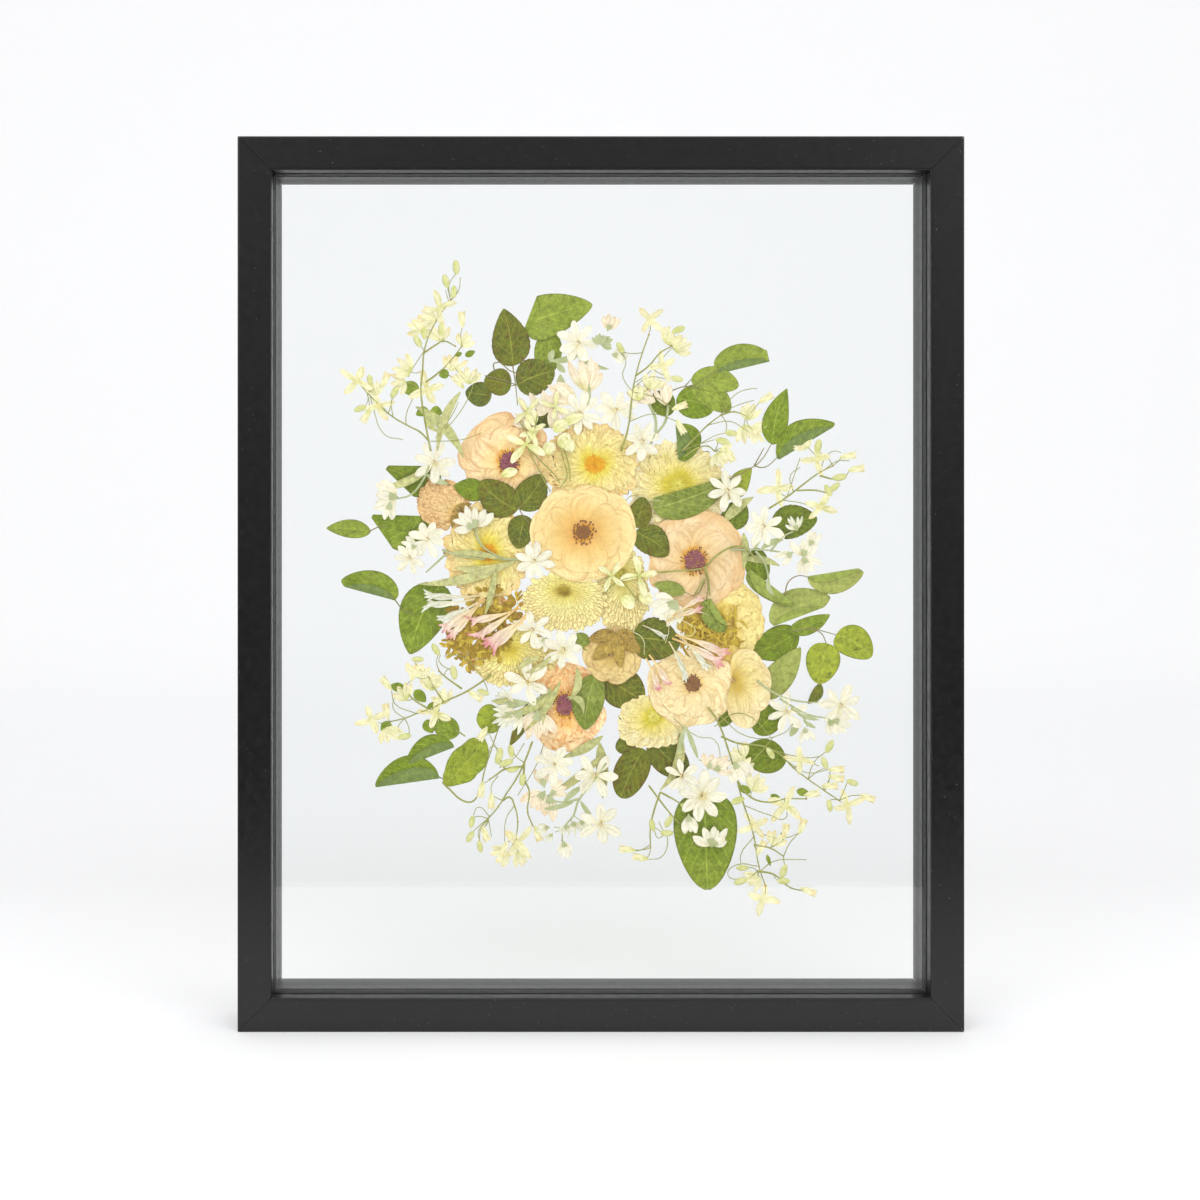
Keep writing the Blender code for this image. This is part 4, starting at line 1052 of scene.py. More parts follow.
SPRAYS = [
    ("clematis_upper_left", 5,
     [[(-103, 350), (-107, 371), (-109, 387), (-108, 399), (-107, 411), (-103, 423), (-98, 432), (-91, 442)],
      [(-104, 356), (-110, 362), (-116, 365), (-129, 373), (-142, 386), (-147, 392)], [(-107, 410), (-101, 414),
      (-95, 417), (-88, 414)], [(-106, 392), (-98, 398), (-91, 405), (-84, 414)]],
     [(-105, 388, 20), (-98, 437, 100), (-148, 393, 60), (-135, 378, 20)],
     [(-84, 414, 62), (-91, 399, 75), (-80, 391, 80), (-115, 398, 150), (-107, 424, 150), (-100, 430, 175),
      (-97, 417, 100), (-118, 392, 200), (-136, 384, 100)],
     [(-87.5, 462, 95), (-93.8, 453.5, 105), (-89, 447, 85), (-107, 422, 95), (-111, 417, 120), (-96.5, 424, 95),
      (-140, 393, 100), (-146, 376, 200), (-125, 386, 60)],
     [(-84, 430, 95), (-86, 392, 130), (-131, 393, 70), (-142, 372, 240)],
     [((-82, 408), (-76, 411), 4), ((-88, 408), (-84, 410), 3), ((-110, 388), (-122, 389), 9), ((-105, 376),
      (-112, 372), 6), ((-103, 375), (-96, 373), 7), ((-92, 398), (-98, 396), 6)],
     [[(-91, 442), (-86, 448), (-85, 456)], [(-92, 441), (-94, 448)], [(-107, 411), (-113, 402), (-117, 395)],
      [(-97, 362), (-90, 372), (-86, 380)], [(-100, 358), (-88, 370), (-79, 385), (-77, 391)], [(-140, 384),
      (-138, 376), (-131, 360), (-120, 357)], [(-103, 356), (-84, 357), (-72, 361)], [(-118, 366), (-118, 372),
      (-114, 382)], [(-126, 371), (-127, 380), (-124, 386)]]),
    ("clematis_upper_middle", 5,
     [[(13, 350), (16, 359), (18, 368), (20, 386), (22, 396), (26, 410), (30, 421)], [(22, 396), (30, 402), (37, 410),
      (44, 414)]],
     [(31, 430, 50), (38, 402, 20)],
     [(40, 416, 60), (46, 411, 40), (24, 381, 100), (30, 388, 60)],
     [(48, 424, 20), (47, 394, 350), (12.5, 413, 120)], [(45, 417, 20), (48.5, 377, 20), (49, 365, 300)], (),
     [[(20, 386), (14, 396), (16, 405), (13, 410)], [(20, 388), (30, 395), (41, 394)], [(22, 392), (29, 397),
      (44, 413)]]),
    ("clematis_upper_right", 5,
     [[(52, 347), (60, 352), (66, 353), (70, 350)], [(50, 350), (58, 358), (66, 366), (74, 372)], [(74, 372),
      (82, 374), (90, 371)]],
     [], [(90, 369, 75), (92, 364, 330), (73, 350, 340), (72, 349, 280), (88, 366, 290)],
     [(80, 361, 350), (75, 356, 345)], [(101, 382, 30), (79, 348, 300)], (),
     [[(74, 373), (84, 378), (94, 381)], [(66, 366), (80, 368), (90, 362)], [(62, 355), (72, 360), (78, 361)],
      [(74, 372), (82, 384), (92, 388), (96, 388)], [(50, 350), (60, 354), (70, 357)]]),
    ("clematis_right", 6,
     [[(103, 315), (114, 322), (123, 329), (134, 337), (142, 341)], [(120, 326), (132, 326), (140, 324)], [(134, 335),
      (144, 333), (150, 335)]],
     [(132, 345, 100), (108, 327, 190), (134, 316, 330)], [(127, 352, 130)],
     [(143, 328, 40), (139, 326, 120), (133, 353, 80), (146, 334, 10)], [(156, 339, 10), (151, 347, 10)], (),
     [[(136, 338), (145, 344), (152, 344)], [(114, 322), (118, 334), (122, 346)], [(134, 337), (138, 347), (143, 350),
      (147, 349)], [(118, 325), (116, 335), (122, 340)], [(112, 320), (124, 318), (130, 315)]]),
    ("clematis_left", 4,
     [[(-66, 214), (-71, 210), (-82, 203), (-95, 197), (-103, 193), (-109, 191), (-119, 187), (-128, 185)],
      [(-95, 197), (-101, 206), (-104, 212)], [(-105, 193), (-114, 199), (-118, 204)], [(-84, 205), (-95, 213),
      (-98, 216)]],
     [(-139, 186, 20), (-100, 190, 350)],
     [(-102, 204, 100), (-94, 196, 110), (-112, 212, 80), (-118, 198, 110), (-105, 206, 60), (-131, 181, 300)],
     [(-100, 229, 120), (-111, 223, 0), (-89, 215, 280), (-71, 203, 160), (-119, 176, 190)],
     [(-130, 208, 130), (-130, 191, 100), (-114, 214, 80), (-76, 201, 330)],
     [((-119, 205), (-128, 207), 6), ((-113, 204), (-106, 197), 7), ((-104, 190), (-98, 197), 8), ((-106, 186),
      (-102, 178), 8), ((-128, 185), (-133, 178), 7)],
     [[(-72, 213), (-85, 225), (-95, 225)], [(-88, 215), (-98, 222), (-97, 226)], [(-119, 187), (-126, 193),
      (-125, 201)], [(-112, 190), (-125, 196), (-127, 204)], [(-119, 187), (-123, 181), (-121, 178)]]),
    ("clematis_bottom_left", 5,
     [[(-41, 173), (-46, 160), (-51, 150), (-57, 141), (-62, 133), (-68, 126)], [(-59, 137), (-55, 139), (-52, 134),
      (-50, 124), (-51, 114)], [(-46, 160), (-46, 150), (-43, 143), (-44, 130), (-41, 122)], [(-46, 158), (-58, 156),
      (-64, 152), (-67, 150)]],
     [(-50, 112, 50)], [(-56, 105, 200), (-50, 106, 300)],
     [(-78, 124, 260), (-79, 115, 240), (-73, 109, 280), (-62, 163, 80), (-57, 160, 200), (-53, 156, 190),
      (-54, 167, 280), (-47, 150, 260), (-61, 165, 260)],
     [(-38, 117, 290), (-66, 137, 270), (-70, 117, 290), (-72, 144, 260), (-71, 178, 240), (-58, 108, 250)], (),
     [[(-67, 127), (-74, 133), (-77, 128)], [(-62, 152), (-66, 146), (-66, 141)], [(-68, 126), (-74, 118),
      (-73, 112)], [(-68, 126), (-70, 121)], [(-52, 134), (-57, 126), (-58, 112)], [(-68, 126), (-66, 115)],
      [(-46, 172), (-52, 163), (-61, 157)], [(-34, 172), (-38, 160), (-50, 140)], [(-61, 182), (-66, 180),
      (-70, 176)], [(-61, 168), (-66, 170), (-67, 164)]]),
    ("clematis_lower_right", 5,
     [[(66, 194), (72, 185), (78, 169), (83, 152), (87, 137), (91, 125), (94, 115), (97, 97), (101, 85)], [(74, 176),
      (84, 172), (100, 170), (110, 165), (118, 157), (127, 150), (137, 143), (146, 137)], [(84, 149), (92, 139),
      (104, 136), (113, 138), (126, 138)], [(94, 110), (104, 108), (112, 103)], [(96, 94), (106, 92), (116, 84),
      (124, 82)]],
     [(94, 122, 30), (113, 134, 150), (122, 162, 80), (151, 134, 20), (100, 77, 80)],
     [(93, 143, 60), (86, 156, 70), (88, 163, 120), (105, 110, 60), (98, 90, 200)],
     [(140, 170, 60), (137, 160, 110), (154, 148, 340), (140, 134, 280), (84, 157, 300), (112, 94, 250),
      (87, 96, 180), (112, 88, 0), (104, 166, 300), (86, 88, 200), (84, 137, 200)],
     [(144, 156, 0), (144, 151, 350), (129, 141, 10), (163, 139, 340), (123, 121, 70), (113, 118, 80), (127, 82, 340),
      (140, 146, 0), (98, 108, 60)],
     [((92, 142), (84, 146), 5), ((120, 143), (128, 141), 5), ((110, 112), (114, 120), 4), ((102, 104), (104, 97),
      2.5), ((104, 140), (110, 139), 3)],
     [[(105, 168), (120, 164), (134, 164), (138, 167)], [(112, 165), (128, 160), (134, 158)], [(113, 162), (126, 154),
      (140, 156)], [(84, 154), (96, 164), (106, 176)], [(72, 190), (90, 176), (112, 178), (118, 184)], [(88, 134),
      (104, 128), (113, 126), (114, 133)], [(94, 118), (112, 114), (121, 117)], [(94, 115), (86, 104), (86, 99)],
      [(96, 97), (84, 98), (78, 92), (86, 88)], [(96, 92), (106, 100), (118, 101), (126, 101)], [(86, 157), (80, 162),
      (78, 156), (84, 150)], [(70, 182), (82, 190), (92, 188), (104, 176)]]),
]


def sprays():
    for node, layer, *parts in SPRAYS:
        clematis_spray(node + "_spray", node, layer, *parts)


def white_flower(bm, x, z, size, turn, lift, petals):
    """An open white flower: spoon-shaped petals round a few brown-tipped stamens."""
    for k in range(petals):
        angle = math.radians(turn + 360 * k / petals + chance.uniform(-9, 9))
        long = size * chance.uniform(0.88, 1.1)
        blade(bm, away(x, z, angle, 0.5), away(x, z, angle, long), size * chance.uniform(0.36, 0.5),
              lift + 0.06 * ((k * 3) % petals), 0.62, 0.55, chance.uniform(-0.06, 0.06), 0.14, ruffle=0.5,
              ripple=3.0, ragged=0.16, rows=9, cols=5, narrow=0.2, square=0.28)


def white_eye(bm, x, z, lift):
    """Nine stamen tips, every third one brown."""
    for k in range(9):
        size = chance.uniform(0.55, 0.9)
        at = away(x, z, k * 2.4, 1.5 * math.sqrt((k + 0.4) / 9))
        ball(bm, *at, lift + 0.5, (size, size, 0.5), 2 if k % 3 else 1)


WHITE_FINISHES = [WHITE, SEED, STAMEN, GREY_STEM, BLUSH, STEM, PALE_TUBE]


def white_group(name, node, layer, flowers, sides=(), routes=(), sepals=(), thin=(), vines=()):
    """White flowers: x, z, size, turn, petals. Sides are flowers seen side-on: foot x, z, size, direction,
    petals, fan, finish. Sepals are base, tip, width. Routes, vines and thin are stems of three kinds."""
    bm = new_sheet()
    low = lift_of(layer)
    lifts = [low + 0.16 * (i % 4) for i in range(len(flowers))]
    for (x, z, size, turn, petals), up in zip(flowers, lifts):
        white_flower(bm, x, z, size, turn, up, petals)
    for i, (x, z, size, turn, count, fan, tint) in enumerate(sides):
        cup_flower(bm, x, z, size, turn, low + 0.1 * (i % 3), count, fan, tint, 0.4 if tint != 6 else 0.24)
        for way in (-24, 0, 24):
            angle = math.radians(turn + way)
            tip = away(x, z, angle, size * 0.36)
            foot = away(x, z, angle, -size * 0.1)
            blade(bm, foot, tip, size * 0.16, low + 0.75, 0.5, 0.7, rows=5, cols=2, slot=3)
    for base, tip, wide in sepals:
        blade(bm, base, tip, wide, low, 0.5, 0.7, chance.uniform(-0.1, 0.1), rows=7, cols=2, slot=3)
    thicken(bm, SMALL_THICK)
    for (x, z, *_), up in zip(flowers, lifts):
        white_eye(bm, x, z, up)
    if routes:
        stalks(bm, routes, 1.7, low - 0.3, 3, 0.6)
    if vines:
        stalks(bm, vines, 1.4, low - 0.3, 5, 0.7)
    if thin:
        stalks(bm, thin, 0.8, low - 0.2, 3, 0.7)
    done(name, bm, WHITE_FINISHES, node)


WHITE_GROUPS = [
    ("white_flowers_right_sprig", "white_flowers_right", 5, [(100, 304, 13, 80, 7)],
     [(124, 286, 12, 80, 4, 90, 0), (124, 285, 11, 300, 4, 80, 0), (120, 302, 9, 110, 5, 90, 6),
      (128, 293, 9, 60, 3, 50, 0), (117, 288, 10, 215, 2, 40, 0)],
     [[(80, 290), (88, 290), (96, 290), (107, 289), (116, 287)], [(94, 290), (98, 296), (100, 303)], [(95, 289),
      (100, 283), (103, 272), (104, 262)], [(104, 289), (112, 298), (118, 301)]],
     [((98, 290), (112, 296), 4), ((102, 272), (106, 262), 3)]),
    ("vine_over_bloom", None, 6, [], (), (), (), (),
     [[(34, 276), (48, 277), (60, 278), (64, 279)], [(64, 279), (75, 289), (85, 292), (91, 289), (95, 283)],
      [(64, 279), (66, 272), (67, 262)], [(64, 272), (58, 263)]]),
    ("white_flowers_lower_right_sprig", "white_flowers_lower_right", 4,
     [(114, 191, 12, 20, 6), (147, 195, 13, 70, 7)],
     [(140, 186, 11, 300, 3, 60, 0), (143, 186, 10, 340, 3, 50, 0), (125, 181, 9, 285, 3, 60, 0)],
     [[(96, 210), (104, 204), (112, 200), (124, 197), (137, 197)], [(110, 199), (118, 194), (128, 189), (140, 187)],
      [(117, 193), (124, 188), (127, 182)]],
     [((122, 184), (116, 176), 4.5), ((124, 186), (132, 181), 2.5), ((120, 190), (134, 186), 2.5)]),
    ("white_flowers_bottom_sprig", "white_flowers_bottom", 6,
     [(-28, 159, 13, 10, 7), (-3, 153, 14, 60, 6), (0.5, 123, 13.5, 95, 6)],
     [(-22, 112, 9.5, 280, 4, 50, 0), (-31, 121, 7.5, 190, 4, 50, 6), (-29, 117, 6.5, 235, 3, 50, 6),
      (-16, 124, 8, 280, 5, 100, 6), (-12, 125, 8, 310, 4, 60, 6), (-20, 122, 7, 240, 4, 60, 6)],
     [[(4, 160), (-6, 146), (-13, 137), (-16, 128), (-22, 120), (-23, 112)], [(-13, 138), (-22, 136), (-32, 138)]],
     [((-12, 137), (-4, 126), 3), ((-22, 136), (-10, 146), 4), ((-16, 136), (-34, 132), 3)],
     [[(-22, 120), (-28, 121)], [(-22, 120), (-27, 118)], [(-16, 128), (-12, 125)], [(-18, 126), (-17, 124)]]),
    ("white_flowers_top", None, 4,
     [(-13, 416, 13.5, 95, 7), (-12, 373, 13.5, 260, 8), (10, 375, 13, 20, 7), (26, 356, 12, 10, 7)],
     [(5, 424, 10, 75, 4, 70, 4), (8, 409, 9, 350, 4, 60, 0), (1, 415, 7, 60, 9, 160, 3)], (),
     [((-30, 405), (-12, 409), 4), ((-30, 404), (-28, 412), 4), ((-14, 408), (6, 400), 3), ((-24, 397), (-20, 382),
      6), ((-21, 398), (-26, 404), 4)]),
    ("white_flowers_left", None, 5, [(-101, 343, 13, 60, 7), (-105, 296, 11.5, 70, 8), (-116, 285, 10, 30, 7)],
     [(-124, 322, 14, 172, 5, 80, 0), (-125, 323, 11, 215, 3, 60, 0), (-128, 318, 11, 262, 2, 30, 0),
      (-76, 304, 13, 85, 5, 95, 0), (-77, 304, 12, 172, 2, 30, 0), (-112, 292, 9, 190, 4, 120, 0)],
     [[(-104, 341), (-108, 332), (-116, 323), (-124, 321)], [(-76, 304), (-73, 294), (-66, 288), (-56, 284)],
      [(-96, 290), (-88, 287), (-70, 284)], [(-94, 287), (-106, 276)]],
     [((-106, 336), (-92, 330), 4)]),
    ("white_flowers_middle", None, 5,
     [(-40, 283, 12, 75, 8), (-41, 241, 12, 40, 6), (-22, 229, 13, 60, 7), (-44, 209, 14, 100, 6)],
     [(-38, 191, 16, 270, 5, 70, 4), (-38, 191, 14, 255, 4, 60, 4), (-33, 236, 9, 230, 3, 60, 0)],
     [[(-60, 284), (-52, 284), (-44, 283)]],
     [((-38, 194), (-34, 184), 4), ((-38, 194), (-43, 185), 3.5)]),
    ("white_flowers_upper_right", None, 5, [(78, 326, 12.5, 100, 7)],
     [(46, 258, 15, 210, 5, 90, 0), (47, 257, 12, 250, 3, 50, 0)]),
    ("white_flowers_low", None, 6, [(62, 140, 15, 85, 8), (50, 152, 11, 40, 6)],
     [(66, 157, 10, 60, 4, 90, 4), (82, 160, 12, 300, 5, 80, 0), (70, 156, 11, 20, 3, 60, 4),
      (54, 128, 11, 275, 3, 40, 0), (68, 110, 13, 100, 4, 100, 0), (69, 110, 10, 40, 3, 60, 0)],
     (), [((52, 183), (60, 162), 3), ((60, 162), (78, 158), 3), ((52, 182), (48, 166), 3)],
     [[(45, 187), (60, 176), (70, 174), (74, 160)]]),
    ("peach_flower_bottom", None, 5, [],
     [(-34, 146, 12, 100, 2, 30, 4), (-34, 142, 14, 235, 4, 80, 4), (-30, 140, 15, 262, 2, 30, 4),
      (-30, 141, 10, 30, 3, 50, 4)]),
    ("white_stem_heads_left", None, 5, [],
     [(-52, 195, 12, 165, 6, 80, 6), (-54, 190, 12, 195, 6, 80, 6), (-48, 191, 14, 225, 5, 60, 6),
      (-56, 197, 9, 140, 4, 60, 6)],
     [[(-30, 204), (-40, 198), (-48, 195), (-54, 193)], [(-28, 200), (-38, 194), (-48, 191)]],
     [((-44, 197), (-58, 199), 4), ((-42, 193), (-60, 185), 3)]),
]


def white_flowers():
    for group in WHITE_GROUPS:
        white_group(*group)


def green_stars():
    """Four-petalled green-yellow flowers with tailed stems, and their buds."""
    bm = new_sheet()
    low = lift_of(6)
    for x, z, size, turn in ((-45, 354, 14, 65), (24, 274, 13, 95), (7, 274, 10, 150), (-41, 361, 9, 200),
                             (-44, 374, 10, 40), (-27, 377, 9, 340)):
        for k in range(4):
            angle = math.radians(turn + 90 * k + chance.uniform(-16, 16))
            long = size * chance.uniform(0.85, 1.1)
            tip = away(x, z, angle, long)
            blade(bm, (x, z), tip, size * 0.34, low + 0.06 * k, 0.6, 0.5, chance.uniform(-0.06, 0.06), 0.12,
                  ruffle=0.3, ripple=3.0, ragged=0.1, rows=9, cols=4, narrow=0.25, square=0.25)
    for foot, tip, wide in (((-60, 335), (-50, 338), 6), ((-24, 352), (-19, 361), 8), ((-28, 362), (-20, 368), 8),
                            ((-33, 348), (-28, 355), 8), ((-40, 366), (-42, 376), 8), ((-24, 358), (-16, 350), 8),
                            ((24, 262), (32, 258), 8), ((14, 262), (20, 254), 8), ((-22, 366), (-10, 372), 6)):
        blade(bm, foot, tip, wide, low - 0.1, 0.5, 0.55, 0.05, 0.12, ruffle=0.3, ripple=3.0, rows=8, cols=4)
    thicken(bm, SMALL_THICK)
    stalks(bm, [[(-45, 354), (-36, 344), (-28, 336), (-24, 330)], [(-44, 352), (-38, 340), (-30, 325)],
                [(-24, 352), (-22, 344), (-20, 334), (-24, 328)], [(-22, 352), (-19, 342), (-18, 332)],
                [(-50, 370), (-44, 360), (-40, 352)], [(-38, 372), (-40, 362)], [(24, 274), (10, 270), (2, 262)],
                [(16, 268), (24, 258)]], 0.9, low - 0.2, 1, 0.8)
    done("green_star_flowers", bm, [STAR_GREEN, STEM], None)


def blush_flowers():
    """Big peach tubular flowers on grey stems at the top, and small peach heads by the upper sprays."""
    bm = new_sheet()
    low = lift_of(4)
    for x, z, size, turn, count, fan in (
            (-8, 386, 21, 97, 5, 44), (-7, 386, 17, 60, 2, 24), (-14, 380, 20, 148, 4, 40),
            (30, 379, 15, 125, 4, 60), (40, 378, 13, 95, 4, 50), (34, 380, 11, 150, 3, 40),
            (-34, 372, 15, 110, 4, 90), (-40, 366, 14, 150, 3, 60), (-30, 364, 14, 60, 3, 60)):
        cup_flower(bm, x, z, size, turn, low + chance.uniform(0, 0.4), count, fan, 0, 0.27)
    thicken(bm, SMALL_THICK)
    stalks(bm, [[(30, 379), (34, 370), (34, 362), (31, 354)], [(42, 378), (40, 368), (34, 360)],
                [(-7, 391), (-6, 384), (-8, 378)]], 1.9, low - 0.2, 1, 0.9)
    done("peach_tube_flowers", bm, [BLUSH, GREY_STEM], None)


def tube_flower(bm, joint, tip, wide, lift, slot):
    """A long tube that splits into lobes at its mouth."""
    foot = Vector(joint)
    axis = Vector(tip) - foot
    mouth = foot + axis * 0.5
    blade(bm, joint, tuple(foot + axis * 0.9), wide * 0.86, lift, 0.78, 0.7, 0.03, 0.25, rows=14, cols=4,
          narrow=0.24, square=0.5, slot=slot, eye=joint, radii=(axis.length, axis.length))
    for k in range(4):
        turn = math.radians(26.0 * (k / 3 - 0.5))
        end = mouth + (Matrix.Rotation(turn, 2) @ (axis * 0.5)) * chance.uniform(0.8, 1.2)
        blade(bm, tuple(mouth), tuple(end), wide * 0.42, lift + 0.14 + 0.05 * k, 0.6, 0.5, -turn * 0.6, 0.2, rows=8,
              cols=3, narrow=0.5, square=0.2, slot=slot, eye=joint, radii=(axis.length, axis.length))


def tube_flowers():
    """Two fans of tube flowers. Each tube: joint, tip, width, finish. Then the hair-thin stems."""
    for node, layer, tubes, hairs in (
            ("tube_flowers_left", 5, [
                ((-49, 254), (-80, 246), 5.5, 0), ((-49, 256), (-76, 236), 5.5, 0), ((-43, 252), (-70, 232), 6.0, 0),
                ((-44, 250), (-66, 229), 5.0, 0), ((-70, 260), (-96, 241), 6.5, 0), ((-72, 259), (-92, 236), 5.0, 0),
                ((-73, 262), (-108, 262), 5.0, 1), ((-76, 260), (-107, 256), 5.0, 1),
                ((-74, 258), (-97, 247), 5.5, 1)], [[(-50, 256), (-46, 262), (-40, 262)]]),
            ("tube_flowers_right", 6, [
                ((46, 238), (78, 226), 6.0, 0), ((44, 236), (74, 221), 5.5, 0), ((50, 236), (66, 217), 4.5, 1),
                ((42, 234), (53, 211), 4.0, 1), ((30, 226), (42, 207), 5.0, 0), ((28, 224), (36, 204), 4.5, 0),
                ((26, 244), (41, 236), 3.0, 1), ((40, 246), (62, 254), 3.6, 0), ((44, 249), (64, 262), 3.4, 0)],
             [[(46, 252), (56, 254), (66, 250)], [(40, 250), (42, 242), (40, 233)],
              [(42, 250), (52, 246), (58, 240), (50, 238), (46, 243)], [(20, 240), (26, 236), (27, 226)]])):
        bm = new_sheet()
        low = lift_of(layer)
        for i, (joint, tip, wide, slot) in enumerate(tubes):
            tube_flower(bm, joint, tip, wide, low + 0.1 * (i % 4), slot)
        thicken(bm, SMALL_THICK)
        stalks(bm, hairs, 0.5, low + 0.4, 2)
        done(node + "_fan", bm, [TUBE, PALE_TUBE, STAMEN], node)


def dried_cluster():
    """The olive-brown dried flower head at the left: many small scales and seeds."""
    bm = new_sheet()
    low = lift_of(2)
    for k in range(46):
        foot = (-70 + chance.uniform(-16, 16), 242 + chance.uniform(-16, 16))
        turn = chance.uniform(0, 2 * math.pi)
        tip = away(*foot, turn, 9)
        blade(bm, foot, tip, chance.uniform(3.5, 6.0), low - 0.35 + chance.uniform(0, 0.3), 0.5, 0.6,
              chance.uniform(-0.2, 0.2), ruffle=0.3, ripple=3.0, rows=8, cols=4, slot=2)
    for x, z, radius, count in ((-69, 259, 9, 70), (-62, 250, 9, 60), (-84, 241, 7, 46), (-72, 240, 10, 80),
                                (-80, 228, 9, 56), (-64, 232, 7, 36), (-52, 256, 6, 30), (-88, 232, 6, 24)):
        for k in range(count):
            out = radius * math.sqrt(chance.random())
            angle = chance.uniform(0, 2 * math.pi)
            foot = away(x, z, angle, out)
            turn = angle + chance.uniform(-0.9, 0.9)
            long = chance.uniform(2.5, 6.0)
            tip = away(*foot, turn, long)
            blade(bm, foot, tip, chance.uniform(1.6, 3.2), low + chance.uniform(0, 0.6), 0.5, 0.6,
                  chance.uniform(-0.15, 0.15), 0.1, ruffle=0.3, ripple=2.5, rows=4, cols=2,
                  slot=chance.choice((0, 0, 2, 2, 0, 1, 2, 2)))
    thicken(bm)
    done("olive_brown_head", bm, [STRING, SEED, OLD_GOLD], None)


def loose_sprig():
    """The bottom sprig with hanging buds between the dark leaf and the large leaf."""
    clematis_spray("bud_sprig_bottom", None, 4, [
        [(30, 146), (36, 138), (43, 129), (50, 122), (56, 119)],
        [(37, 142), (33, 130), (31, 120), (31, 108)], [(37, 142), (46, 137), (52, 133)],
    ], [], [], [(32, 122, 100), (42, 124, 60), (41, 117, 0), (53, 134, 0)], [(17, 107, 175), (25, 102, 170)],
        hairs=[[(31, 110), (26, 107), (22, 106)], [(41, 118), (41, 108), (37, 102), (30, 101)],
               [(36, 124), (40, 118), (52, 120)], [(33, 120), (36, 114), (40, 117)]])


flower_heads()
middle_head()
closed_head()
half_head()
crinkled_heads()
leaves()
lances()
sprays()
loose_sprig()
white_flowers()
green_stars()
blush_flowers()
tube_flowers()
dried_cluster()


# ---- Frame finishes ----------------------------------------------------------------------------
def black_wood(name, dark, worn, roughness):
    """Matt black lacquer over wood: faint grain, paler specks of dust, a slightly uneven sheen."""
    made, tree, shader = new_finish(name, roughness, 0.5)
    place = place_of(tree)
    grain = cloud(tree, place, 220.0, 5.0, 0.6)
    dust = cloud(tree, place, 900.0, 1.0)
    colour = mix(tree, spread(tree, grain, 0.3, 0.7), dark, worn)
    colour = mix(tree, spread(tree, dust, 0.76, 0.80, 0.0, 0.7), colour, paint(120, 118, 116))
    tree.links.new(colour, shader.inputs["Base Color"])
    tree.links.new(spread(tree, grain, 0.3, 0.7, roughness - 0.06, roughness + 0.08), shader.inputs["Roughness"])
    bump(tree, shader, cloud(tree, place, 1400.0, 3.0), 0.12, 0.0001)
    return made


def float_glass():
    made, tree, shader = new_finish("clear_glass", 0.0, 0.5)
    shader.inputs["Transmission Weight"].default_value = 1.0
    shader.inputs["IOR"].default_value = 1.45
    shader.inputs["Base Color"].default_value = (0.985, 0.995, 0.992, 1.0)
    return made


def dress(name, finish):
    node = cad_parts[name]
    node.data.materials.clear()
    node.data.materials.append(finish)


RAIL_BLACK = black_wood("rail_black", (0.0046, 0.0042, 0.0044, 1), (0.0066, 0.0062, 0.0062, 1), 0.36)
STRIP_BLACK = black_wood("strip_black", (0.010, 0.0095, 0.0095, 1), (0.016, 0.015, 0.015, 1), 0.4)
SPACER_BLACK = black_wood("spacer_black", (0.012, 0.012, 0.012, 1), (0.02, 0.02, 0.02, 1), 0.6)
GLASS = float_glass()
for side in ("top", "bottom", "left", "right"):
    dress("rail_" + side, RAIL_BLACK)
    dress("strip_" + side, STRIP_BLACK)
dress("spacer", SPACER_BLACK)
for pane in ("pane_front", "pane_back"):
    dress(pane, GLASS)
    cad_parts[pane].visible_shadow = False
    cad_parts[pane].visible_diffuse = False


# ---- Stage, light and camera -------------------------------------------------------------------
def stage_sheet(name, x_size, rows, finish):
    """A pale sheet on the table: rows of (y, z) from the front edge to the back, swept up when asked."""
    bm = bmesh.new()
    first = [bm.verts.new((-x_size / 2, y, z)) for y, z in rows]
    edges = [bm.edges.new(pair) for pair in zip(first, first[1:])]
    grown = bmesh.ops.extrude_edge_only(bm, edges=edges)["geom"]
    bmesh.ops.translate(bm, vec=(x_size, 0, 0), verts=[v for v in grown if isinstance(v, bmesh.types.BMVert)])
    bmesh.ops.recalc_face_normals(bm, faces=bm.faces)
    for face in bm.faces:
        face.smooth = True
        if face.normal.z < 0 or face.normal.y > 0.5:
            face.normal_flip()
    mesh = bpy.data.meshes.new(name)
    bm.to_mesh(mesh)
    bm.free()
    mesh.materials.append(finish)
    made = bpy.data.objects.new(name, mesh)
    bpy.context.scene.collection.objects.link(made)
    return made


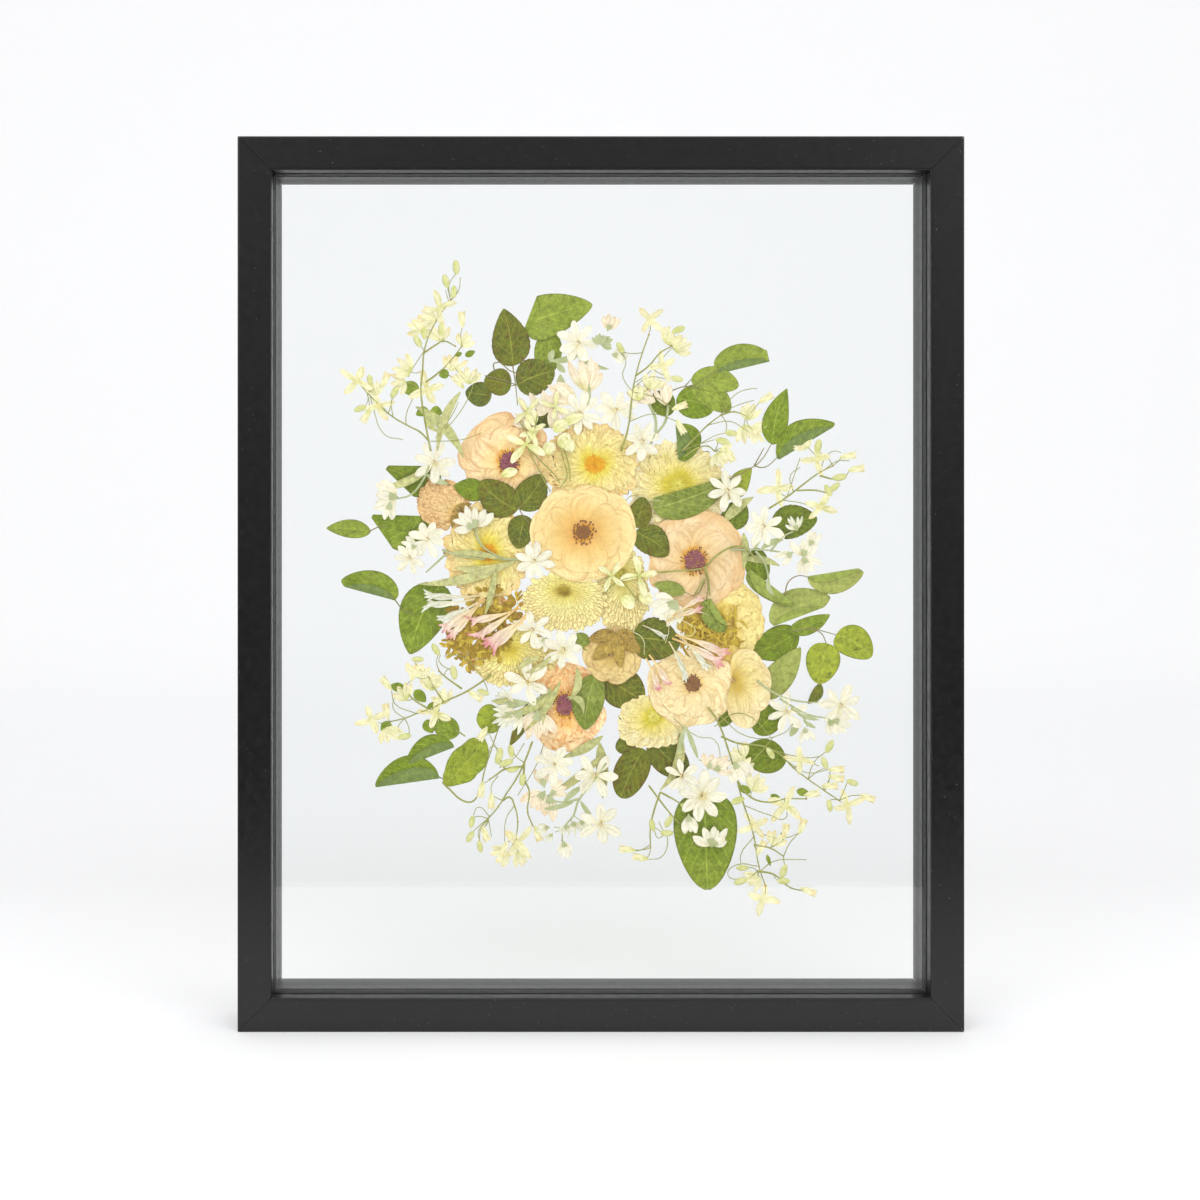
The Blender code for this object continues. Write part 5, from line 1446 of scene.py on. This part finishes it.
def stage_and_light():
    """A pale table that sweeps up behind and glows with painted light, dimmest just behind the frame, a studio world
    that is dim behind the camera, and three soft boxes.
    """
    pale, tree, shader = new_finish("stage_white", 0.9, 0.1)
    shader.inputs["Base Color"].default_value = (0.80, 0.80, 0.805, 1)
    shader.inputs["Emission Color"].default_value = (1.0, 1.0, 1.0, 1)
    # Painted light: the table glows, brightest in front of the frame and rising again towards the sweep, with a
    # painted darker band just behind the frame.
    depth = spread(tree, split_up(tree, place_of(tree))[1], -0.5, 2.0)
    painted_glow = ramp(tree, depth, [(at, (level, level, level, 1)) for at, level in (
        (0.0, 0.23), (0.18, 0.21), (0.33, 0.11), (0.46, 0.14), (0.77, 0.175), (1.0, 0.21))])
    tree.links.new(painted_glow, shader.inputs["Emission Strength"])
    table_edge = FRAME_FRONT * MM - 0.30
    sweep = [(1.6 + 0.9 * math.sin(math.radians(a)), 0.9 - 0.9 * math.cos(math.radians(a)))
             for a in range(0, 91, 10)]
    stage_sheet("floor_near", 7.0, [(table_edge, 0.0)] + sweep + [(2.5, 3.2)], pale)
    far = stage_sheet("floor_front", 7.0, [(-4.0, 0.0), (table_edge, 0.0)], pale)
    far.visible_glossy = False
    far.visible_transmission = False

    world = bpy.data.worlds.new("studio")
    bpy.context.scene.world = world
    world.use_nodes = True
    tree = world.node_tree
    tree.nodes.clear()
    way = split_up(tree, put(tree, "ShaderNodeTexCoord", output=0))
    behind = spread(tree, way[1], -0.75, -0.35)
    room = spread(tree, way[2], -0.3, 0.3, 0.04, 0.50)
    level = calc(tree, "MAXIMUM", behind, room)
    path = tree.nodes.new("ShaderNodeLightPath")
    dim = times(tree, path.outputs["Is Glossy Ray"], calc(tree, "SUBTRACT", 1.0, level))
    strength = times(tree, calc(tree, "SUBTRACT", 1.0, dim), 0.86)
    veil = spread(tree, way[2], -0.4, 0.4, 0.76, 0.10)
    strength = plus(tree, strength, times(tree, path.outputs["Is Transmission Ray"], veil))
    light = put(tree, "ShaderNodeBackground", {"Color": (0.985, 0.99, 1.0, 1), "Strength": strength})
    out = tree.nodes.new("ShaderNodeOutputWorld")
    tree.links.new(light, out.inputs[0])

    for name, where, size, power in (
            ("softbox_left", (-1.3, -1.2, 1.1), 1.0, 5.4), ("softbox_right", (1.3, -1.2, 1.1), 1.0, 5.4),
            ("softbox_top", (0.0, -0.9, 1.9), 1.2, 6.0)):
        lamp = bpy.data.lights.new(name, "AREA")
        lamp.size = size
        lamp.energy = power
        made = bpy.data.objects.new(name, lamp)
        made.location = where
        aim = Vector((0, 0, 0.28)) - Vector(where)
        made.rotation_euler = aim.to_track_quat("-Z", "Y").to_euler()
        bpy.context.scene.collection.objects.link(made)


def camera():
    eye = bpy.data.cameras.new("camera")
    made = bpy.data.objects.new("camera", eye)
    bpy.context.scene.collection.objects.link(made)
    away_from_frame = 0.80
    width_seen = 0.7212
    made.location = (-0.0547, FRAME_FRONT * MM - away_from_frame, 0.3092)
    made.rotation_euler = (math.pi / 2, 0, 0)
    eye.sensor_width = 36.0
    eye.lens = eye.sensor_width * away_from_frame / width_seen
    eye.shift_x = 0.0750
    eye.shift_y = -0.0683
    eye.clip_start = 0.05
    bpy.context.scene.camera = made


stage_and_light()
camera()
bpy.context.scene.view_settings.view_transform = "Standard"
